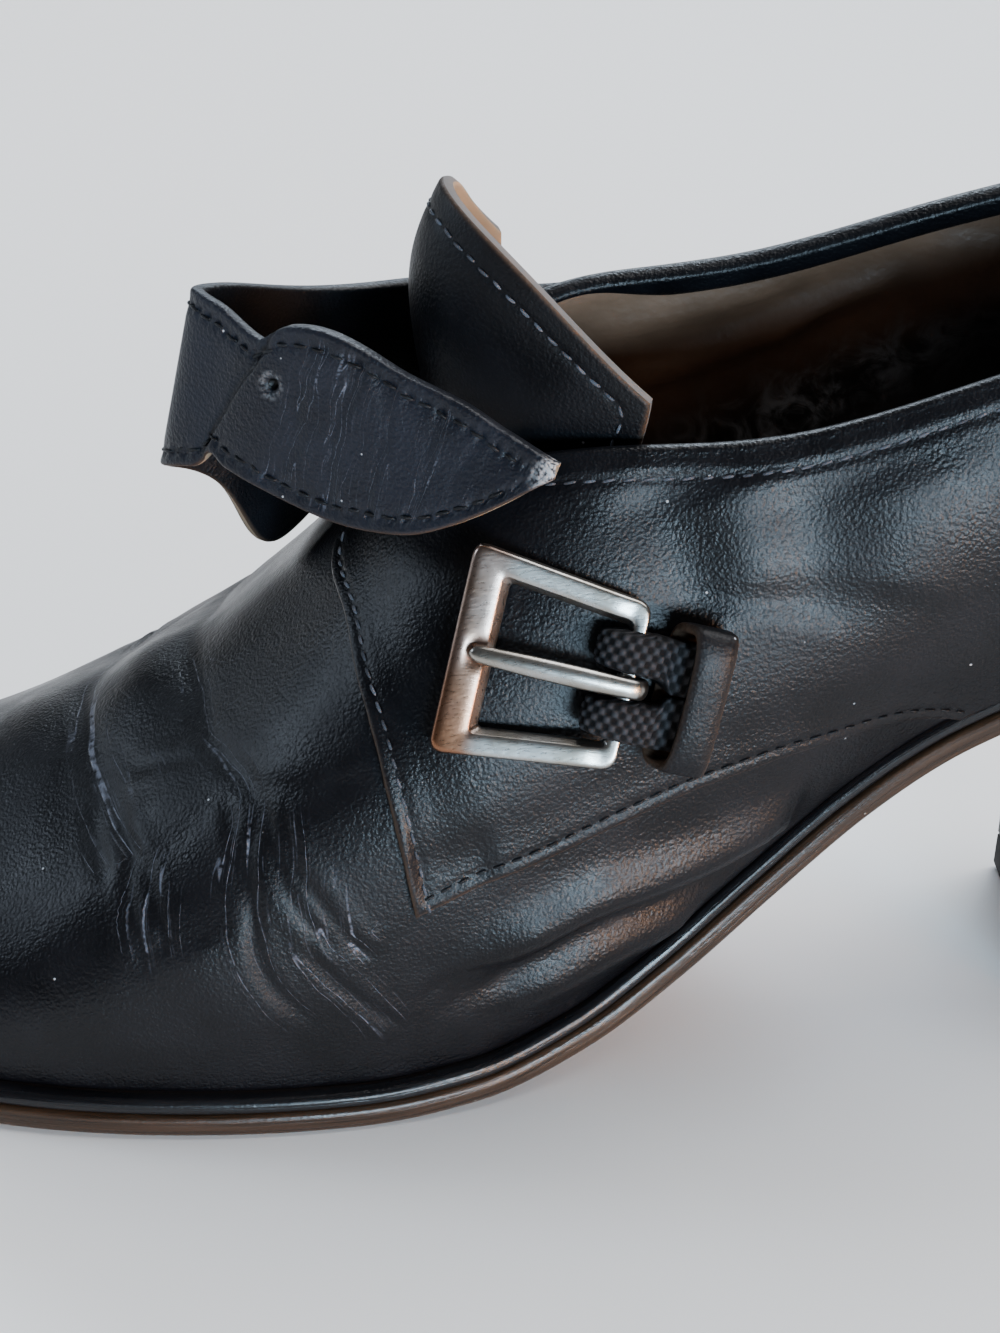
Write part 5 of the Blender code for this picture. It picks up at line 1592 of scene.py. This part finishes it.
class SHOE_OT_stitches(bpy.types.Operator):
    """Seams of the quarters, collar, tongue and strap"""
    bl_idname = "monk_shoe.stitches"
    bl_label = "Stitches"

    def execute(self, context):
        """Grey thread shows on quarters, collar and tongue, dark thread on lower seam and strap."""
        grey = []
        dark = []
        for turned, seed in ((False, 10), (True, 20)):
            front = self.inside(edge_line(QUARTER_FRONT), turned, QUARTER_SEAM, PANEL_LIFT - FRONT_SEAM_SINK)
            lower = self.inside(edge_line(QUARTER_LOWER)[8:], turned, -QUARTER_SEAM,
                                PANEL_LIFT - LOWER_SEAM_SINK)
            grey.append(stitch_mesh(*front, seed, slant=0.12))
            dark.append(stitch_mesh(*lower, seed + 1))
            collar = self.collar(turned, PANEL_LIFT - COLLAR_SEAM_SINK)
            grey.append(stitch_mesh(*collar, seed + 2, slant=0.1))
        grey.append(stitch_mesh(*self.tongue_line(), 31))
        dark += [stitch_mesh(*line, 41, scale=STRAP_STITCH) for line in self.strap_lines()]
        colour = context.scene.monk_finish.thread
        put_stitches("grey_seams", grey, colour, "upper_leather")
        put_stitches("dark_seams", dark, [0.09 * c for c in colour], "strap_leather")
        return {"FINISHED"}

    def inside(self, line, turned, gap, high):
        """Line of points a gap inside an edge of the quarter, measured on the wall."""
        points = wall(line[:, 0], line[:, 1])
        out, _ = wall_axes(line[:, 0], line[:, 1])
        across = np.cross(out, unit(np.gradient(points, axis=0))) * gap
        basis = np.stack(wall_rates(line[:, 0], line[:, 1]), axis=-1)
        line = line - (np.linalg.pinv(basis) @ across[..., None])[..., 0]
        return self.on_wall(line[line[:, 1] < 0.985], turned, high)

    def on_wall(self, line, turned, high):
        """Points a height over the folded wall along a line of station and climb, and the way out."""
        station = on_side(line[:, 0], turned)
        climb = np.clip(line[:, 1], 0.0, 1.0)
        out, _ = wall_axes(station, climb)
        points = wall(station, climb)
        return points + out * (wall_relief(points) + high)[:, None], out

    def collar(self, turned, high):
        """Line below the collar, round one side of the shoe."""
        station = np.linspace(*COLLAR_SEAM_SPAN)
        line = np.column_stack((station, 1.0 - COLLAR_SEAM / collar_length(station)))
        return self.on_wall(even_line(line, wall(line[:, 0], line[:, 1]), len(line)), turned, high)

    def tongue_line(self):
        """Line inside the lateral edge and the top of the tongue, smoothed over 9 points."""
        front, square, gaps = tongue_shape()
        side = np.argmin(np.abs(gaps[2] - TONGUE_SEAM), axis=1)
        rows = np.arange(TONGUE_SEAM_SPAN[0], len(front))
        rows = rows[gaps[1][rows, side[rows]] > TONGUE_SEAM + 0.2]
        across = np.arange(side[rows[-1]] + 1, TONGUE_SEAM_SPAN[1])
        top = np.argmin(np.abs(gaps[1][:, across] - TONGUE_SEAM), axis=0)
        r = np.concatenate((rows, top))
        c = np.concatenate((side[rows], across))
        points = front[r, c] + square[r, c] * 0.1
        points = even_line(points, points, 300)
        squares = even_line(-square[r, c], front[r, c], 300)
        padded = np.pad(points, ((4, 4), (0, 0)), mode="edge")
        even = np.ones(9) / 9.0
        points = np.stack([np.convolve(column, even, mode="valid") for column in padded.T], axis=1)
        return points, unit(squares)

    def strap_lines(self):
        """Lines inside the strap's two edges, from the root to the tip."""
        middle, square, gaps, part, total = strap_shape()
        stations, columns = STRAP_FINENESS
        rows = np.arange(STRAP_SEAM_START, stations)
        rows = rows[gaps[1][rows, columns // 2] > STRAP_SEAM_STOP]
        lines = []
        for side in gaps[2:]:
            pick = np.argmin(np.abs(side[rows] - STRAP_SEAM), axis=1)
            lift = tab_lift(rows / (stations - 1.0), part[pick], total) + STRAP_THICK / 2.0
            squares = square[rows, pick]
            points = middle[rows, pick] + squares * (lift - STRAP_SEAM_SINK)[:, None]
            lines.append((even_line(points, points, 420), unit(even_line(squares, points, 420))))
        return lines


class SHOE_OT_stage(bpy.types.Operator):
    """Pale floor, soft light and the camera at the photograph's angle"""
    bl_idname = "monk_shoe.stage"
    bl_label = "Stage"

    def execute(self, context):
        """Floor, room, a wide sun from above and behind, four soft boxes and the camera."""
        stage = context.scene.monk_stage
        self.floor(stage)
        world = bpy.data.worlds.new("soft_room")
        world.use_nodes = True
        tree = world.node_tree
        seen = add_node(tree, "ShaderNodeLightPath").outputs["Is Camera Ray"]
        strength = calc(tree, "MULTIPLY_ADD", seen, stage.backdrop - stage.sky, stage.sky)
        set_inputs(tree, tree.nodes["Background"], {"Color": shade(ROOM), "Strength": strength})
        context.scene.world = world
        self.lamp("fill_light", "SUN", (0.95, 0.55, 1.75), energy=stage.fill, angle=math.radians(50.0),
                  color=(0.97, 0.98, 1.0))
        for name, power, size, spread, colour, place in (
                ("rim_light", stage.rim, (1.2, 0.2), 100.0, (0.75, 0.87, 1.0), (0.1, 1.15, 0.75)),
                ("window_light", stage.window, (0.4, 0.18), 70.0, (0.56, 0.8, 1.0), (0.3, -0.97, 0.18)),
                ("side_light", stage.side, (0.22, 0.26), 80.0, (0.7, 0.83, 1.0), (-0.82, 0.22, 0.4)),
                ("warm_light", stage.warm, (0.8, 0.1), 30.0, (1.0, 0.48, 0.2), (0.8, -0.95, 0.12))):
            self.lamp(name, "AREA", place, shape="RECTANGLE", size=size[0], size_y=size[1],
                      spread=math.radians(spread), energy=power, color=colour)
        context.scene.camera = self.camera()
        return {"FINISHED"}

    def floor(self, stage):
        """One large square that rides with the stage."""
        half = FLOOR_HALF
        mesh = bpy.data.meshes.new("floor")
        corners = [(-half, -half, 0.0), (half, -half, 0.0), (half, half, 0.0), (-half, half, 0.0)]
        mesh.from_pydata(corners, [], [(0, 1, 2, 3)])
        mesh.materials.append(material("pale_floor", plain_floor, colour=stage.floor))
        floor = bpy.data.objects.new("floor", mesh)
        bpy.context.scene.collection.objects.link(floor)

    def stand(self, name, data, place, *axes):
        """Object at a place, with its own three axes along the ones given."""
        thing = bpy.data.objects.new(name, data)
        thing.matrix_world = Matrix(np.column_stack(axes).tolist()).to_4x4()
        thing.location = place
        bpy.context.scene.collection.objects.link(thing)
        return thing

    def lamp(self, name, kind, place, **settings):
        """Lamp at a place, facing the shoe."""
        made = bpy.data.lights.new(name, kind)
        for label, value in settings.items():
            setattr(made, label, value)
        away = unit(np.array(place) - np.array(LIGHT_AIM))
        side = unit(np.cross((0.0, 0.0, 1.0), away))
        self.stand(name, made, place, side, np.cross(away, side), away)

    def camera(self):
        """Camera where the photograph was taken from."""
        turn = math.radians(VIEW_TURN)
        tilt = math.radians(VIEW_TILT)
        roll = math.radians(VIEW_ROLL)
        ahead = np.array((math.sin(turn) * math.cos(tilt), math.cos(turn) * math.cos(tilt), -math.sin(tilt)))
        level = np.array((math.cos(turn), -math.sin(turn), 0.0))
        upright = np.cross(level, ahead)
        right = math.cos(roll) * level + math.sin(roll) * upright
        up = -math.sin(roll) * level + math.cos(roll) * upright
        lens = bpy.data.cameras.new("camera")
        lens.sensor_fit = "AUTO"
        lens.sensor_width = SENSOR
        lens.lens = SENSOR * VIEW_FOCAL / VIEW_TALL
        lens.clip_start = 0.01
        return self.stand("camera", lens, [c * MM for c in VIEW_PLACE], right, up, -ahead)


class SHOE_PT_panel(bpy.types.Panel):
    """Lists the pieces of the shoe"""
    bl_label = "Monk strap shoe"
    bl_idname = "SHOE_PT_panel"
    bl_space_type = "VIEW_3D"
    bl_region_type = "UI"
    bl_category = "Shoe"

    def draw(self, context):
        """One button per operator, then the settings."""
        for operator in OPERATORS:
            self.layout.operator(operator.bl_idname)
        for group in (context.scene.monk_sizes, context.scene.monk_finish, context.scene.monk_stage):
            box = self.layout.box()
            for label in group.__annotations__:
                box.prop(group, label)


OPERATORS = (SHOE_OT_stage, SHOE_OT_upper, SHOE_OT_quarters, SHOE_OT_tongue, SHOE_OT_strap, SHOE_OT_keeper,
             SHOE_OT_buckle, SHOE_OT_web, SHOE_OT_sole, SHOE_OT_heel, SHOE_OT_stitches)
GROUPS = (MonkShoeSizes, MonkShoeFinish, MonkShoeStage)


def register():
    """Adds the classes, and the settings to every scene."""
    for item in GROUPS + OPERATORS + (SHOE_PT_panel,):
        bpy.utils.register_class(item)
    bpy.types.Scene.monk_sizes = PointerProperty(type=MonkShoeSizes)
    bpy.types.Scene.monk_finish = PointerProperty(type=MonkShoeFinish)
    bpy.types.Scene.monk_stage = PointerProperty(type=MonkShoeStage)


def unregister():
    """Takes the settings and the classes away again."""
    del bpy.types.Scene.monk_stage
    del bpy.types.Scene.monk_finish
    del bpy.types.Scene.monk_sizes
    for item in reversed(GROUPS + OPERATORS + (SHOE_PT_panel,)):
        bpy.utils.unregister_class(item)


def main():
    register()
    bpy.ops.monk_shoe.stage()
    bpy.ops.monk_shoe.upper()
    bpy.ops.monk_shoe.quarters()
    bpy.ops.monk_shoe.tongue()
    bpy.ops.monk_shoe.strap()
    bpy.ops.monk_shoe.keeper()
    bpy.ops.monk_shoe.buckle()
    bpy.ops.monk_shoe.web()
    bpy.ops.monk_shoe.sole()
    bpy.ops.monk_shoe.heel()
    bpy.ops.monk_shoe.stitches()


if __name__ == "__main__":
    main()
